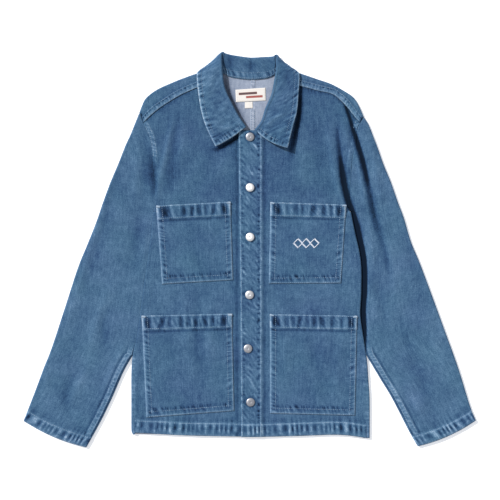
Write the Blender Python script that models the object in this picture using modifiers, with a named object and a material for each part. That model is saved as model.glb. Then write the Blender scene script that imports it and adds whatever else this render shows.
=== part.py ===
"""A denim chore jacket, buttoned and laid flat on its back, at real size.

The jacket lies on the plane z = 0 with its collar towards +Y and its hem towards -Y.
+X is the wearer's left, so "left" and "right" in the names are the wearer's.
Every panel is a wall of cloth.  The fronts lie on the backs, and the backs roll up
round the side folds and over the shoulders to seams that lie on the upper side.
The tables give places on the laid garment in millimetres: across (x) and up (y).
"""
import bpy
import bmesh
import math
import numpy as np

MM = 0.001

# ---- cloth and layers ----
CLOTH = 1.5 * MM            # one layer of heavy denim
LAYERS = 6.6 * MM           # floor to the top of a front, two layers lying on each other
FOLD = LAYERS / 2           # radius of a side, shoulder or sleeve fold
SEAM_GAP = 0.35 * MM        # between two pieces that are sewn together
SLANT_GAP = SEAM_GAP * 1.4  # the same across a seam that slants or steps
SEAM_STEP = 1.0 * MM        # a felled seam stands up by this much
HEM_STEP = 0.8 * MM         # a turned hem stands up by this much
LAP_RISE = CLOTH + 0.3 * MM  # the left front climbs over the right front's edge
SIDE_WRAP = 7.0 * MM        # from the side fold in to the side seam
SLACK = 0.5 * MM            # between a sleeve and the body's side
MERGE = 0.02 * MM           # points closer than this are one point

# ---- hems, pockets, buttons ----
BODY_HEM = 25 * MM
CUFF_HEM = 22 * MM
HEM_SLOPE = 2 * MM
LAP_LINE = 22 * MM          # inner edge of the buttoned lap
LAP_FADE = [0.6, 0.2]       # the lap's rise on the first two rows up the neck
POCKET_BAND = 27 * MM       # height of the turned mouth
BAND_SLOPE = 1 * MM
POCKET_CLOTH = 1.3 * MM
COLLAR_CLOTH = 2.6 * MM     # two layers and their seam
COLLAR_ROLL = 3.2 * MM      # outer radius of the collar's roll
LABEL_CLOTH = 0.6 * MM

CENTRE_BACK = 6             # the centre-back seam is a little off the middle, in mm
UNDERARM = 73               # height of both underarms on the plan, in mm
BACK_HEM = -357             # height of the hem at the centre back, in mm
FRONT_HEM = -359            # and at the centre front
NECK_BACK = 329             # lowest point of the back neck
NECK_FRONT = 225            # where the front neck starts up from the centre front
BACK_RUN = 480              # the back's rows keep the spacing of a panel that runs up to here
MIDDLE = (-0.5, 0.63)       # the laid garment's middle in the tables' millimetres

# ---- outlines of the laid garment: (across, up) in mm ----
SHOULDER_FOLD = {
    -1: [(-61, 352), (-77, 347), (-100, 340), (-131, 329), (-160, 317), (-177, 309),
         (-192, 299), (-202, 289), (-208, 276), (-213, 263)],
    1: [(60, 352), (73, 347), (95, 340), (130, 328), (156, 319), (182, 305), (199, 293),
        (210, 276), (219, 255)],
}
SHOULDER_SEAM = {
    -1: [(-59, 325), (-77, 319), (-103, 311), (-136, 296), (-171, 274), (-190, 259), (-206, 243)],
    1: [(58, 325), (73, 320), (96, 315), (130, 306), (156, 300), (170, 291), (185, 276),
        (199, 258), (211, 244)],
}
# from the underarm up to the shoulder seam
ARMHOLE = {
    -1: [(-186, 73), (-183, 111), (-187, 154), (-188, 188), (-192, 212), (-198, 227), (-206, 243)],
    1: [(194, 73), (192, 106), (194, 146), (197, 180), (204, 207), (205, 230), (211, 244)],
}
# the body's side fold, from the hem up to the underarm
SIDE_FOLD = {
    -1: [(-224, -354), (-228, -336), (-228, -288), (-228, -240), (-226, -204), (-220, -177),
         (-213, -131), (-206, -77), (-198, -23), (-191, 29), (-186, 73)],
    1: [(230, -361), (230, -288), (228, -254), (225, -213), (218, -167), (212, -123),
        (214, -79), (213, -20), (201, 38), (194, 73)],
}
HEM = {
    -1: [(17, -359), (-19, -358), (-125, -356), (-224, -354)],
    1: [(-17, -358), (23, -359), (96, -357), (172, -355), (230, -361)],
}
# back neck, from the centre-back seam out to the shoulder fold
BACK_NECK = {
    -1: [(6, 329), (-19, 331), (-40, 337), (-52, 343), (-60, 349)],
    1: [(6, 329), (27, 332), (42, 337), (52, 343), (59, 349)],
}
# front neck, from the centre front up to the shoulder seam
FRONT_NECK = {
    -1: [(17, 226), (-10, 229), (-25, 252), (-37, 275), (-51, 305), (-59, 325)],
    1: [(22, 230), (30, 248), (36, 271), (47, 299), (58, 325)],
}
LAP_EDGE = [(-17, -358), (-19, -60), (-21, 100), (-22, 226)]   # the left front's free edge

# ---- sleeves: their outer fold beside the armhole, then both edges down to the cuff ----
SLEEVE_HEAD = {        # outer fold, from the shoulder seam down to the underarm
    -1: [(-213, 263), (-219, 248), (-229, 223), (-240, 199), (-253, 166), (-269, 128), (-283, 90)],
    1: [(219, 255), (228, 241), (236, 221), (246, 195), (257, 164), (271, 130), (285, 90)],
}
SLEEVE_OUTER = {       # outer fold, from the underarm's height down to the cuff
    -1: [(-283, 90), (-296, 52), (-314, 7), (-331, -35), (-355, -109), (-381, -188), (-396, -226),
         (-412, -269), (-435, -328)],
    1: [(285, 90), (296, 61), (309, 17), (324, -19), (340, -61), (373, -151), (400, -226),
        (423, -300), (434, -327)],
}
SLEEVE_FREE = {        # inner fold, from the fork with the body's side down to the cuff
    -1: [(-228, -208), (-243, -234), (-263, -280), (-285, -326), (-314, -379)],
    1: [(228, -208), (250, -247), (273, -285), (306, -349), (322, -377)],
}
# a low shelf of the left sleeve lies along the body and makes the dark gap there
# columns: up, width of the shelf
SHELF = {-1: [(73, 0), (-379, 0)],
         1: [(73, 0), (36, 8), (-21, 12), (-79, 13), (-125, 13), (-169, 14), (-200, 8), (-225, 0),
             (-380, 0)]}
SHELF_HEIGHT = 3.4 * MM
SHELF_FULL = 8 * MM         # a shelf this wide lies at its full depth
SHELF_LIP = 2 * MM          # the cloth starts to climb this much inside the shelf's width
SHELF_CLIMB = 5 * MM        # and reaches the top of the sleeve in this much
CUFF_BOW = {-1: 8, 1: 6}    # the cuff's edge bows down by this much, in mm

# ---- the largest folds, pressed down into the upper layer ----
# columns: start x, y, bend x, y, end x, y, half width, depth, all in mm
FRONT_TROUGHS = {
    -1: [(-150, 210, -166, 160, -176, 105, 9, 1.6)],
    1: [(166, 224, 175, 165, 190, 96, 8, 2.9)],
}
SLEEVE_TROUGHS = {
    -1: [(-190, 190, -196, 150, -200, 100, 9, 1.8), (-216, 60, -218, 0, -222, -60, 14, 1.5)],
    1: [(196, 246, 205, 200, 233, 96, 8, 2.9), (240, 67, 252, 10, 262, -60, 14, 1.5)],
}

# ---- patch pockets: corners from the top, centre-front side first, in mm ----
# columns: top inner, top outer, bottom outer, bottom inner
POCKETS = {
    "pocket_chest_right": (-1, (-37, 93), (-180, 85), (-169, -66), (-32, -58)),
    "pocket_chest_left": (1, (39, 92), (185, 87), (175, -64), (36, -65)),
    "pocket_lower_right": (-1, (-34, -122), (-208, -126), (-199, -322), (-30, -309)),
    "pocket_lower_left": (1, (38, -123), (206, -126), (202, -318), (38, -314)),
}
BUTTONS = [(0, 217), (0, 120), (0, 25), (-1, -86), (-4, -189), (1, -292)]

# ---- collar: a row for each section, from the right front end round the back ----
# columns: base x, y, z; roll's middle x, y, z; the way the roll faces, in degrees from +X;
# its lean up, in degrees; middle of the leaf x, y, z; edge of the leaf x, y, z; in mm
COLLAR = [
    (-15, 232, 7.4, -9.5, 234.3, 10.8, 32, 45, -37, 214, 13.8, -66, 198, 14.6),
    (-27, 252, 7.4, -23.4, 254.4, 10.8, 30, 45, -52, 243, 13.6, -83, 233, 14.0),
    (-39, 275, 7.4, -35.3, 276.3, 10.8, 26, 45, -63, 270, 13.6, -93, 264, 13.0),
    (-55, 307, 7.4, -50.2, 308.2, 11.2, 16, 45, -75, 305, 14.0, -99, 300, 12.4),
    (-61, 331, 8.4, -55.2, 338, 12.0, 4, 40, -79, 337, 14.2, -102, 334, 12.0),
    (-57, 343, 8.2, -56.2, 352, 12.0, 10, 25, -82, 349, 13.0, -97, 345, 8.0),
    (-50.5, 343.5, 5.4, -56.4, 363.4, 10.4, 30, 10, -77, 359, 7.6, -78, 353, 2.2),
    (-46, 341, 4.6, -53.8, 377.2, 7.4, 70, 0, -64, 370, 2.4, -64, 359, 0.4),
    (-40, 335.5, 4.4, -46, 374.3, 4.6, 90, 0, -50, 366, 0.5, -49, 356, 0.2),
    (-26, 331, 4.4, -27, 370.3, 3.2, 90, 0, -27, 360, 0.0, -27, 347, 0.0),
    (2, 327, 4.4, 1, 366.8, 3.2, 90, 0, 1, 356, 0.0, 2, 343, 0.0),
    (28, 330, 4.4, 27, 367.8, 3.2, 90, 0, 27, 358, 0.0, 27, 345, 0.0),
    (41, 335.5, 4.4, 44, 368.8, 4.6, 90, 0, 48, 361, 0.5, 46, 354, 0.2),
    (46.5, 341, 4.6, 51.7, 371.8, 7.4, 110, 0, 60, 364, 2.4, 60, 357, 0.4),
    (50.5, 343.5, 5.4, 52.3, 359.4, 10.4, 150, 10, 73, 355, 7.6, 73, 351, 2.2),
    (55, 343, 8.2, 53.2, 349.1, 12.0, 170, 25, 77, 347, 13.0, 91, 343, 8.0),
    (59, 331, 8.4, 51.2, 336, 12.0, 176, 40, 74, 335, 14.2, 95, 333, 12.0),
    (48, 300, 7.4, 44.2, 299.2, 11.2, 168, 45, 70, 301, 14.0, 93, 300, 13.2),
    (35, 271, 7.9, 32.3, 271.3, 11.4, 157, 45, 62, 268, 15.0, 90, 266, 15.6),
    (28, 247, 9.4, 24.3, 246.4, 12.6, 150, 45, 53, 240, 17.0, 82, 236, 19.0),
    (17, 232, 9.4, 11.3, 228.4, 12.6, 148, 45, 39, 207, 18.0, 72, 195, 22.0),
]

LABEL = [(-28, 308), (30, 312), (31, 287), (-27, 284)]     # corners of the neck label
SIZE_TAB = [(-10, 284.1), (5, 284.9), (5.5, 272.5), (-10, 272)]


def hexcolor(code):
    """A linear colour from six hex digits of sRGB."""
    channels = [int(code[i:i + 2], 16) / 255 for i in (0, 2, 4)]
    return tuple(c / 12.92 if c <= 0.04045 else ((c + 0.055) / 1.055) ** 2.4 for c in channels)


def material(name, code, roughness, metallic=0.0):
    """A Principled material of one colour."""
    made = bpy.data.materials.new(name)
    made.use_nodes = True
    shader = made.node_tree.nodes["Principled BSDF"]
    shader.inputs["Base Color"].default_value = (*hexcolor(code), 1)
    shader.inputs["Roughness"].default_value = roughness
    shader.inputs["Metallic"].default_value = metallic
    return made


def smooth(points, steps):
    """A smooth (Catmull-Rom) curve through the rows of `points`, `steps` places to a stretch."""
    p = np.array(points, float)
    ends = np.vstack([2 * p[0] - p[1], p, 2 * p[-1] - p[-2]])
    fine = []
    for a, b, c, d in zip(ends, ends[1:], ends[2:], ends[3:]):
        for t in np.arange(steps) / steps:
            fine.append(b + 0.5 * t * (c - a + t * (2 * a - 5 * b + 4 * c - d
                                                     + t * (3 * b - a - 3 * c + d))))
    return np.array(fine + [p[-1]])


def curve(points, places):
    """Points at the fractions `places` of the length of a smooth curve through `points`."""
    fine = smooth(points, 10)
    run = np.append(0, np.cumsum(np.linalg.norm(np.diff(fine, axis=0), axis=1)))
    return np.stack([np.interp(np.array(places) * run[-1], run, column) for column in fine.T], 1)


def shared(points, knots, places):
    """Points on the straight stretches between the knots, so that two sewn edges match."""
    corners = curve(points, knots)
    return np.stack([np.interp(places, knots, column) for column in corners.T], 1)


def spread(count):
    """Even fractions from 0 to 1."""
    return np.linspace(0, 1, count)


def fill(bottom, top, inner, outer, across):
    """Points of a panel between its four edges (a Coons patch), a row for each inner point."""
    up = np.linspace(0, 1, len(inner))[:, None, None]
    over = np.array(across)[None, :, None]
    sides = (1 - over) * inner[:, None] + over * outer[:, None]
    ends = (1 - up) * bottom[None] + up * top[None]
    corners = ((1 - up) * ((1 - over) * bottom[0] + over * bottom[-1])
               + up * ((1 - over) * top[0] + over * top[-1]))
    return sides + ends - corners


def outward(line, side):
    """The flat direction that points out of the garment along an edge line."""
    step = np.gradient(line[:, :2], axis=0)
    step /= np.linalg.norm(step, axis=1)[:, None]
    return np.stack([step[:, 1], -step[:, 0]], 1) * side


def trough_depth(x, y, troughs):
    """How far the cloth is pressed down at a place: a bell across each fold, fading at its ends."""
    depth = np.zeros(np.shape(x))
    for x0, y0, x1, y1, x2, y2, half_width, deep in troughs:
        line = curve([(x0, y0), (x1, y1), (x2, y2)], spread(13)) * MM
        away = np.hypot(x[..., None] - line[:, 0], y[..., None] - line[:, 1])
        nearest = away.min(-1) / (half_width * MM)
        along = away.argmin(-1) / 12
        fade = np.sin(np.pi * np.clip(along, 0.04, 0.96)) ** 0.4
        depth = np.maximum(depth, deep * MM * np.exp(-nearest ** 2) * fade)
    return depth


def lift(plan, height):
    """Points in space from plan points and a height for each."""
    return np.concatenate([plan, np.broadcast_to(height, plan.shape[:-1])[..., None]], -1)


def add_faces(bm, grid, flip):
    """Quads over a grid of points; a quad with two corners in one place is left a triangle."""
    rows, columns = grid.shape[:2]
    verts = [[bm.verts.new(p) for p in row] for row in grid]
    for i in range(rows - 1):
        for j in range(columns - 1):
            quad = [verts[i][j], verts[i + 1][j], verts[i + 1][j + 1], verts[i][j + 1]]
            bm.faces.new(quad[::-1] if flip else quad)


def place(name, bm, surface):
    """An object in the jacket's collection, made of a bmesh."""
    mesh = bpy.data.meshes.new(name)
    bm.to_mesh(mesh)
    bm.free()
    mesh.materials.append(surface)
    item = bpy.data.objects.new(name, mesh)
    item.location = (-MIDDLE[0] * MM, -MIDDLE[1] * MM, 0)
    jacket.objects.link(item)
    return item


def cloth(name, grids, flip, thickness, surface, even=True):
    """A wall of cloth: open grids of its outer side, joined, and thickened inwards."""
    bm = bmesh.new()
    for grid in grids:
        add_faces(bm, grid, flip)
    bmesh.ops.remove_doubles(bm, verts=bm.verts, dist=MERGE)
    item = place(name, bm, surface)
    wall = item.modifiers.new("wall", "SOLIDIFY")
    wall.thickness = thickness
    wall.offset = -1
    wall.use_even_offset = even
    return item


def slab(name, plan, low, high, flip, surface):
    """A flat piece between two height grids over the same plan points."""
    top = lift(plan, high)
    under = lift(plan, low)
    bm = bmesh.new()
    add_faces(bm, top, flip)
    add_faces(bm, under, not flip)
    for upper, lower, turn in ((top[0], under[0], not flip), (top[-1], under[-1], flip),
                               (top[:, 0], under[:, 0], flip), (top[:, -1], under[:, -1], not flip)):
        add_faces(bm, np.stack([upper, lower]), turn)
    bmesh.ops.remove_doubles(bm, verts=bm.verts, dist=MERGE)
    return place(name, bm, surface)


UPPER_PLACES = [0, 0.045, 0.17, 0.31, 0.45, 0.59, 0.73, 0.87, 1]
UPPER_ROWS = len(UPPER_PLACES)
LOWER_PLACES = [0.12, 0.24, 0.35, 0.43, 0.51, 0.59, 0.67, 0.75, 0.83, 0.91]
BAND_SHARE = 0.75           # the felled band's far edge, on the way from the fold to the seam
FORK_ROW = 5                # the row of a side where the sleeve leaves it
BACK_ACROSS = [0, 0.15, 0.3, 0.45, 0.6, 0.72, 0.82, 0.91, 1]
FRONT_ACROSS = [0, 0.035, 0.25, 0.45, 0.62, 0.73, 0.79, 0.84, 0.885, 0.925, 0.96, 1]
NECK_ROWS = 6


def rows_up(side_points, upper_points):
    """An edge of a panel as rows: the hem, a lower stretch to the underarm, then an upper one."""
    run = np.linalg.norm(np.diff(np.array(side_points), axis=0), axis=1).sum() * MM
    lower = [0, BODY_HEM / run, (BODY_HEM + HEM_SLOPE) / run] + LOWER_PLACES
    return np.vstack([curve(side_points, lower), curve(upper_points, UPPER_PLACES)]) * MM


def roll_over(edge, direction):
    """Rows of points that turn up through half a circle from an edge on the floor."""
    rows = []
    for turn in np.radians([36, 72, 108, 144, 180]):
        rows.append(lift(edge + direction * FOLD * math.sin(turn), FOLD * (1 - math.cos(turn))))
    return rows


def back(side):
    """One half of the back: flat under the jacket, up round the side, and over the shoulder."""
    middle = CENTRE_BACK + side * SEAM_GAP / MM / 2
    fold = curve(SHOULDER_FOLD[side], BACK_ACROSS) * MM
    fold_out = outward(fold, -side)
    fold[-1, 0] -= side * SEAM_GAP
    top = fold - fold_out * FOLD
    inner = rows_up([(middle, BACK_HEM), (middle, UNDERARM)],
                    [(middle, UNDERARM), (middle, BACK_RUN)])
    neck = curve([(middle, NECK_BACK)] + BACK_NECK[side][1:], spread(NECK_ROWS)) * MM
    inner = np.vstack([inner[:1 - NECK_ROWS], neck])
    inner[-1] = top[0]
    outer = rows_up(SIDE_FOLD[side], ARMHOLE[side])
    side_rows = len(outer) - UPPER_ROWS + 1
    side_out = outward(outer[:side_rows], side)
    outer[:side_rows] -= side_out * FOLD
    outer[side_rows:] -= outward(outer, side)[side_rows:] * SEAM_GAP
    outer = np.vstack([outer, top[-1:]])
    hem = curve([(middle, BACK_HEM)] + [(x, y + 1) for x, y in HEM[side][2:]], BACK_ACROSS) * MM
    hem[-1] = outer[0]
    flat = lift(fill(hem, top, inner, outer, BACK_ACROSS), 0)

    edge = flat[:side_rows, -1, :2]
    side_seam = lift(edge - side_out * (SIDE_WRAP - FOLD), LAYERS)
    wrap = np.stack([flat[:side_rows, -1]] + roll_over(edge, side_out) + [side_seam], 1)

    seam = curve(SHOULDER_SEAM[side], BACK_ACROSS) * MM
    seam[-1, 0] -= side * SEAM_GAP
    near = flat[-1, :, :2] * (1 - BAND_SHARE) + seam * BAND_SHARE
    over = np.stack([flat[-1]] + roll_over(flat[-1, :, :2], fold_out)
                    + [lift(near, LAYERS + SEAM_STEP), lift(seam, LAYERS + SEAM_STEP)], 0)
    name = "back_left" if side > 0 else "back_right"
    return cloth(name, [flat, wrap, over], side < 0, CLOTH, material(name + "_denim", "6E8AAE", 0.85))


def front(side):
    """One front, lying on the back; the left one laps over the right one's edge."""
    seam = shared(SHOULDER_SEAM[side], BACK_ACROSS, FRONT_ACROSS) * MM
    seam[:, 1] -= SLANT_GAP
    centre = LAP_LINE / MM if side > 0 else HEM[side][0][0]
    inner = rows_up([(centre, FRONT_HEM), (centre, UNDERARM)],
                    [(centre, UNDERARM), (centre, NECK_FRONT)])
    inner[-NECK_ROWS:] = curve(FRONT_NECK[side], spread(NECK_ROWS)) * MM
    inner[-1] = seam[0]
    outer = rows_up(SIDE_FOLD[side], ARMHOLE[side])
    side_rows = len(outer) - UPPER_ROWS + 1
    side_out = outward(outer[:side_rows], side)
    outer[:side_rows] -= side_out * (SIDE_WRAP + SLANT_GAP)
    outer[side_rows:] -= outward(outer, side)[side_rows:] * SEAM_GAP
    outer[-1] = seam[-1] - np.array([side * SEAM_GAP, 0])
    seam[-1] = outer[-1]
    hem = curve([(centre, FRONT_HEM)] + HEM[side][2:], FRONT_ACROSS) * MM
    hem[-1] = outer[0]
    plan = fill(hem, seam, inner, outer, FRONT_ACROSS)
    height = LAYERS - trough_depth(plan[..., 0], plan[..., 1], FRONT_TROUGHS[side])
    if side < 0:
        height[:2, 2:] += HEM_STEP
        grids = [lift(plan, height)]
    else:
        height[:2] += HEM_STEP
        strip_rows = len(plan) - NECK_ROWS + 1
        height[:strip_rows, 0] += LAP_RISE
        height[strip_rows:strip_rows + 2, 0] += LAP_RISE * np.array(LAP_FADE)
        line = plan[:strip_rows, 0]
        free = line.copy()
        free[:, 0] = np.interp(line[:, 1] / MM, [y for x, y in LAP_EDGE], [x for x, y in LAP_EDGE])
        free[:, 0] *= MM
        free[-1, 1] = LAP_EDGE[-1][1] * MM
        lap = np.stack([free, (free + line) / 2, line], 1)
        grids = [lift(plan, height), lift(lap, height[:strip_rows, :1])]
    name = "front_left" if side > 0 else "front_right"
    return cloth(name, grids, side > 0, CLOTH, material(name + "_denim", "4C7097", 0.85))


OPEN_ACROSS = [0, 0.1, 0.2, 0.3, 0.42, 0.52, 0.64, 0.76, 0.88, 1]
FREE_PLACES = [0.17, 0.35, 0.55, 0.74]
FREE_RUN = 192 * MM         # from the fork to the cuff


def sleeve_section(inner, outer, is_open, shelf, rise):
    """A flattened ring: distances in from the inner edge, and heights, all the way round.

    It runs over the top from the inner edge, round the outer fold and back underneath.
    Beside the armhole it is open: its top ends at the front's seam, its underside at the back's.
    """
    width = np.linalg.norm(outer - inner)
    top = LAYERS + rise
    far = width - top / 2
    turns = np.radians([54, 18, -18, -54, -90])
    fold = [(far + top / 2 * math.cos(a), top / 2 * (1 + math.sin(a))) for a in turns]
    if is_open:
        upper = [(far * f, top) for f in OPEN_ACROSS]
        under = [(far * f, 0) for f in (0.75, 0.5, 0.3, 0.15, 0)]
        return np.array(upper + fold + under), width
    low = top - (top - SHELF_HEIGHT) * min(1, shelf / SHELF_FULL)
    bend = low / 2
    foot = max(shelf - SHELF_LIP, bend + SLACK)
    ridge = foot + SHELF_CLIMB * min(1, 0.3 + shelf / SHELF_FULL)
    upper = [(0, bend), (0.3 * bend, 0.85 * low), (bend, low), (foot, low)]
    upper += [(ridge + (far - ridge) * f, top) for f in (0, 0.12, 0.3, 0.5, 0.75, 1)]
    under = [(bend + (far - bend) * 0.7, 0), (bend + (far - bend) * 0.35, 0)]
    under += [(bend, 0), (0.3 * bend, 0.15 * low), (0, bend)]
    return np.array(upper + fold + under), width


def sleeve(side):
    """A sleeve: a flattened tube, open beside the armhole and at the cuff."""
    head_in = curve(ARMHOLE[side], UPPER_PLACES)[::-1]
    head_out = curve(SLEEVE_HEAD[side], 1 - np.array(UPPER_PLACES[::-1]))
    first = head_out[0] - head_in[0]
    away = np.array([first[1], -first[0]]) * side / np.linalg.norm(first) * SLANT_GAP / MM
    head_in[0] += away
    head_out[0] += away
    beside = rows_up(SIDE_FOLD[side], ARMHOLE[side])[FORK_ROW:-UPPER_ROWS + 1]
    beside = (beside + outward(beside, side) * SLACK)[::-1] / MM
    places = FREE_PLACES + [1 - (CUFF_HEM + HEM_SLOPE) / FREE_RUN, 1 - CUFF_HEM / FREE_RUN, 1]
    inner = np.vstack([beside, curve(SLEEVE_FREE[side], places)])
    run = np.append(0, np.cumsum(np.linalg.norm(np.diff(inner, axis=0), axis=1)))
    inner = np.vstack([head_in[:-1], inner])
    outer = np.vstack([head_out[:-1], curve(SLEEVE_OUTER[side], run / run[-1])])
    bows = [0] * (len(inner) - 4) + [0.6, 0.95, 0.95, 1]
    levels = [row[0] for row in SHELF[side]][::-1]
    widths = [row[1] for row in SHELF[side]][::-1]
    rows = []
    for number, (a, b, bow) in enumerate(zip(inner, outer, bows)):
        is_open = number < UPPER_ROWS - 1
        shelf = 0 if is_open else np.interp(a[1], levels, widths) * MM
        rise = HEM_STEP if number > len(inner) - 3 else 0
        section, width = sleeve_section(a * MM, b * MM, is_open, shelf, rise)
        across = (b - a) * MM / width
        down = np.array([across[1], -across[0]]) * side
        share = section[:, :1] / width
        plan = a * MM + across * section[:, :1] + down * bow * CUFF_BOW[side] * MM * 4 * share * (1 - share)
        depth = trough_depth(plan[:, 0], plan[:, 1], SLEEVE_TROUGHS[side])
        number_across = np.arange(len(section))
        pressed = (number_across > (1 if is_open else 2)) & (number_across < len(OPEN_ACROSS) - 1)
        rows.append(lift(plan, section[:, 1] - np.where(pressed, depth, 0)))
    name = "sleeve_left" if side > 0 else "sleeve_right"
    return cloth(name, [np.array(rows)], side < 0, CLOTH, material(name + "_denim", "4A6E96", 0.85))


def collar():
    """The collar: up from the neck seam, over its roll, and down its leaf, all round the neck."""
    rows = smooth(COLLAR, 2)
    middle = rows[:, 3:6] * MM
    along = np.gradient(middle, axis=0)
    along /= np.linalg.norm(along, axis=1)[:, None]
    facing, lean = np.radians(rows[:, 6]), np.radians(rows[:, 7])
    bulge = np.stack([np.cos(facing) * np.cos(lean), np.sin(facing) * np.cos(lean), np.sin(lean)], 1)
    leafward = np.cross(bulge, along)
    leafward /= np.linalg.norm(leafward, axis=1)[:, None]
    base, leaf, edge = rows[:, :3] * MM, rows[:, 8:11] * MM, rows[:, 11:14] * MM
    start = middle - leafward * COLLAR_ROLL
    section = [base * (1 - t) + start * t for t in (0, 0.33, 0.67)]
    for turn in np.radians([-90, -45, 0, 45, 90]):
        section.append(middle + COLLAR_ROLL * (leafward * math.sin(turn) + bulge * math.cos(turn)))
    finish = section[-1]
    pull = 2 * leaf - (finish + edge) / 2
    for t in (0.25, 0.5, 0.75, 1):
        section.append(finish * (1 - t) ** 2 + pull * 2 * t * (1 - t) + edge * t ** 2)
    section = np.stack(section, 1)
    section[..., 2] = np.maximum(section[..., 2], 0)
    return cloth("collar", [section], False, COLLAR_CLOTH,
                 material("collar_denim", "4E729A", 0.85), even=False)


def pocket(name, side, top_inner, top_outer, bottom_outer, bottom_inner):
    """A patch pocket lying on a front, with a thicker turned band along its mouth."""
    corners = np.array([bottom_inner, bottom_outer, top_inner, top_outer]) * MM
    tall = np.linalg.norm(corners[0] - corners[2])
    levels = [0, 0.2, 0.45, 0.7, 1 - (POCKET_BAND + BAND_SLOPE) / tall, 1 - POCKET_BAND / tall, 1]
    up = np.array(levels)[:, None, None]
    over = spread(6)[None, :, None]
    plan = ((1 - up) * ((1 - over) * corners[0] + over * corners[1])
            + up * ((1 - over) * corners[2] + over * corners[3]))
    low = np.full(plan.shape[:2], LAYERS + SEAM_GAP)
    high = low + POCKET_CLOTH
    high[-2:] += SEAM_STEP
    return slab(name, plan, low, high, side > 0, material(name + "_denim", "4D7199", 0.85))


def label(name, corners, code):
    """A woven label lying on the inside of the back."""
    corners = np.array(corners) * MM
    up = spread(2)[:, None, None]
    over = spread(4)[None, :, None]
    plan = ((1 - up) * ((1 - over) * corners[3] + over * corners[2])
            + up * ((1 - over) * corners[0] + over * corners[1]))
    low = np.full(plan.shape[:2], CLOTH + SEAM_GAP)
    return slab(name, plan, low, low + LABEL_CLOTH, True, material(name + "_weave", code, 0.8))


# a button's outline from its middle, over the rim and down its short post: radius, height, in mm
BUTTON_OUTLINE = [(0, 2.8), (1.2, 2.95), (2.0, 3.4), (5.4, 3.25), (7.4, 2.6), (8.25, 1.9),
                  (8.0, 1.3), (3.2, 1.1), (3.0, 0), (0, 0)]


def button(number, x, y):
    """A turned metal shank button standing on the lap."""
    name = f"button_{number}"
    mesh = bpy.data.meshes.new(name)
    points = [(r * MM, 0, z * MM) for r, z in BUTTON_OUTLINE]
    mesh.from_pydata(points, [(i, i + 1) for i in range(len(points) - 1)], [])
    mesh.materials.append(material(name + "_metal", "C9C7C4", 0.35, 1.0))
    item = bpy.data.objects.new(name, mesh)
    item.location = ((x - MIDDLE[0]) * MM, (y - MIDDLE[1]) * MM, LAYERS + LAP_RISE + SEAM_GAP)
    turned = item.modifiers.new("turned", "SCREW")
    turned.steps = turned.render_steps = 16
    turned.use_merge_vertices = True
    turned.merge_threshold = 0.0001
    jacket.objects.link(item)
    return item


jacket = bpy.data.collections.new("denim_jacket")


def main():
    """Clear the scene and make every piece."""
    for item in list(bpy.data.objects):
        bpy.data.objects.remove(item)
    bpy.context.scene.collection.children.link(jacket)
    for side in (-1, 1):
        back(side)
        front(side)
        sleeve(side)
    collar()
    for name, corners in POCKETS.items():
        pocket(name, *corners)
    for number, (x, y) in enumerate(BUTTONS, 1):
        button(number, x, y)
    label("neck_label", LABEL, "E9E2D6")
    label("size_tab", SIZE_TAB, "F0ECE4")


main()
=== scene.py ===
"""A washed denim chore jacket, buttoned and laid flat on a pale floor, seen from straight above.

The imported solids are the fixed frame.  Every cloth piece here is a thin shell on its solid's
form, worked out in millimetres on the laid garment's own plan: x across, y up towards the
collar, z above the floor.  +x is the wearer's left.
"""
import bpy
import bmesh
import math
import numpy as np
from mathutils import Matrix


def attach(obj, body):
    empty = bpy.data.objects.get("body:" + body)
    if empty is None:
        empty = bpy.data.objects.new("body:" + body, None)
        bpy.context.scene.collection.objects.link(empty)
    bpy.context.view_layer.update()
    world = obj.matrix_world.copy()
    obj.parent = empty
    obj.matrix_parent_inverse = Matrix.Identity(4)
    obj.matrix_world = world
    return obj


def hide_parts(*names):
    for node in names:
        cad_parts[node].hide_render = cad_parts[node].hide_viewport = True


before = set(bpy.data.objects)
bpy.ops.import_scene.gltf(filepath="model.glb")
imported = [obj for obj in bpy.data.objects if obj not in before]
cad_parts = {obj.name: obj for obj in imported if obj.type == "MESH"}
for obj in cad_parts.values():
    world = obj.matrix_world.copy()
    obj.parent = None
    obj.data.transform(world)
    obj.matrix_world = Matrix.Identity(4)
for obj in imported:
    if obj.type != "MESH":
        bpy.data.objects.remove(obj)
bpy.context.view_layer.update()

MM = 0.001
MIDDLE = (-0.5, 0.63)       # the laid garment's middle in the tables' millimetres

# ---- cloth and layers, in mm ----
CLOTH = 1.5                 # one layer of heavy denim
LAYERS = 6.6                # floor to the top of a front, two layers lying on each other
FOLD = LAYERS / 2           # radius of a side, shoulder or sleeve fold
SEAM_GAP = 0.35
SEAM_STEP = 1.0             # a felled seam stands up by this much
HEM_STEP = 0.8
HEM_PUCKER = 11.5           # from one pucker of a roped hem to the next
LAP_RISE = CLOTH + 0.3      # the left front climbs over the right front's edge
SIDE_WRAP = 7.0             # from the side fold in to the side seam
BODY_HEM = 25
CUFF_HEM = 22
LAP_LINE = 22               # inner stitched edge of the buttoned lap
POCKET_BAND = 27
POCKET_CLOTH = 1.3
COLLAR_CLOTH = 2.2
COLLAR_ROLL = 3.2
CENTRE_BACK = 6
UNDERARM = 73               # height of the underarm on the plan
EDGE_ROW = 2.0              # from a seam in to its first row of stitches
TWIN = 6.5                  # between the two stitch rows of a felled seam
WIDE_TWIN = 8.0             # the same along the shoulders and the sleeves' lower seams
POCKET_ROWS = (2.2, 11.2)   # a pocket's two rows of stitches, from its edge
COLLAR_LINE = 9.0           # the collar's stitches, from its edge
VALLEY = 3.4                # a soft fold never sinks deeper than this

SUN_HEIGHT = math.radians(40)
SUN_AROUND = math.radians(144)      # the way to the sun, from +x towards +y

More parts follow.
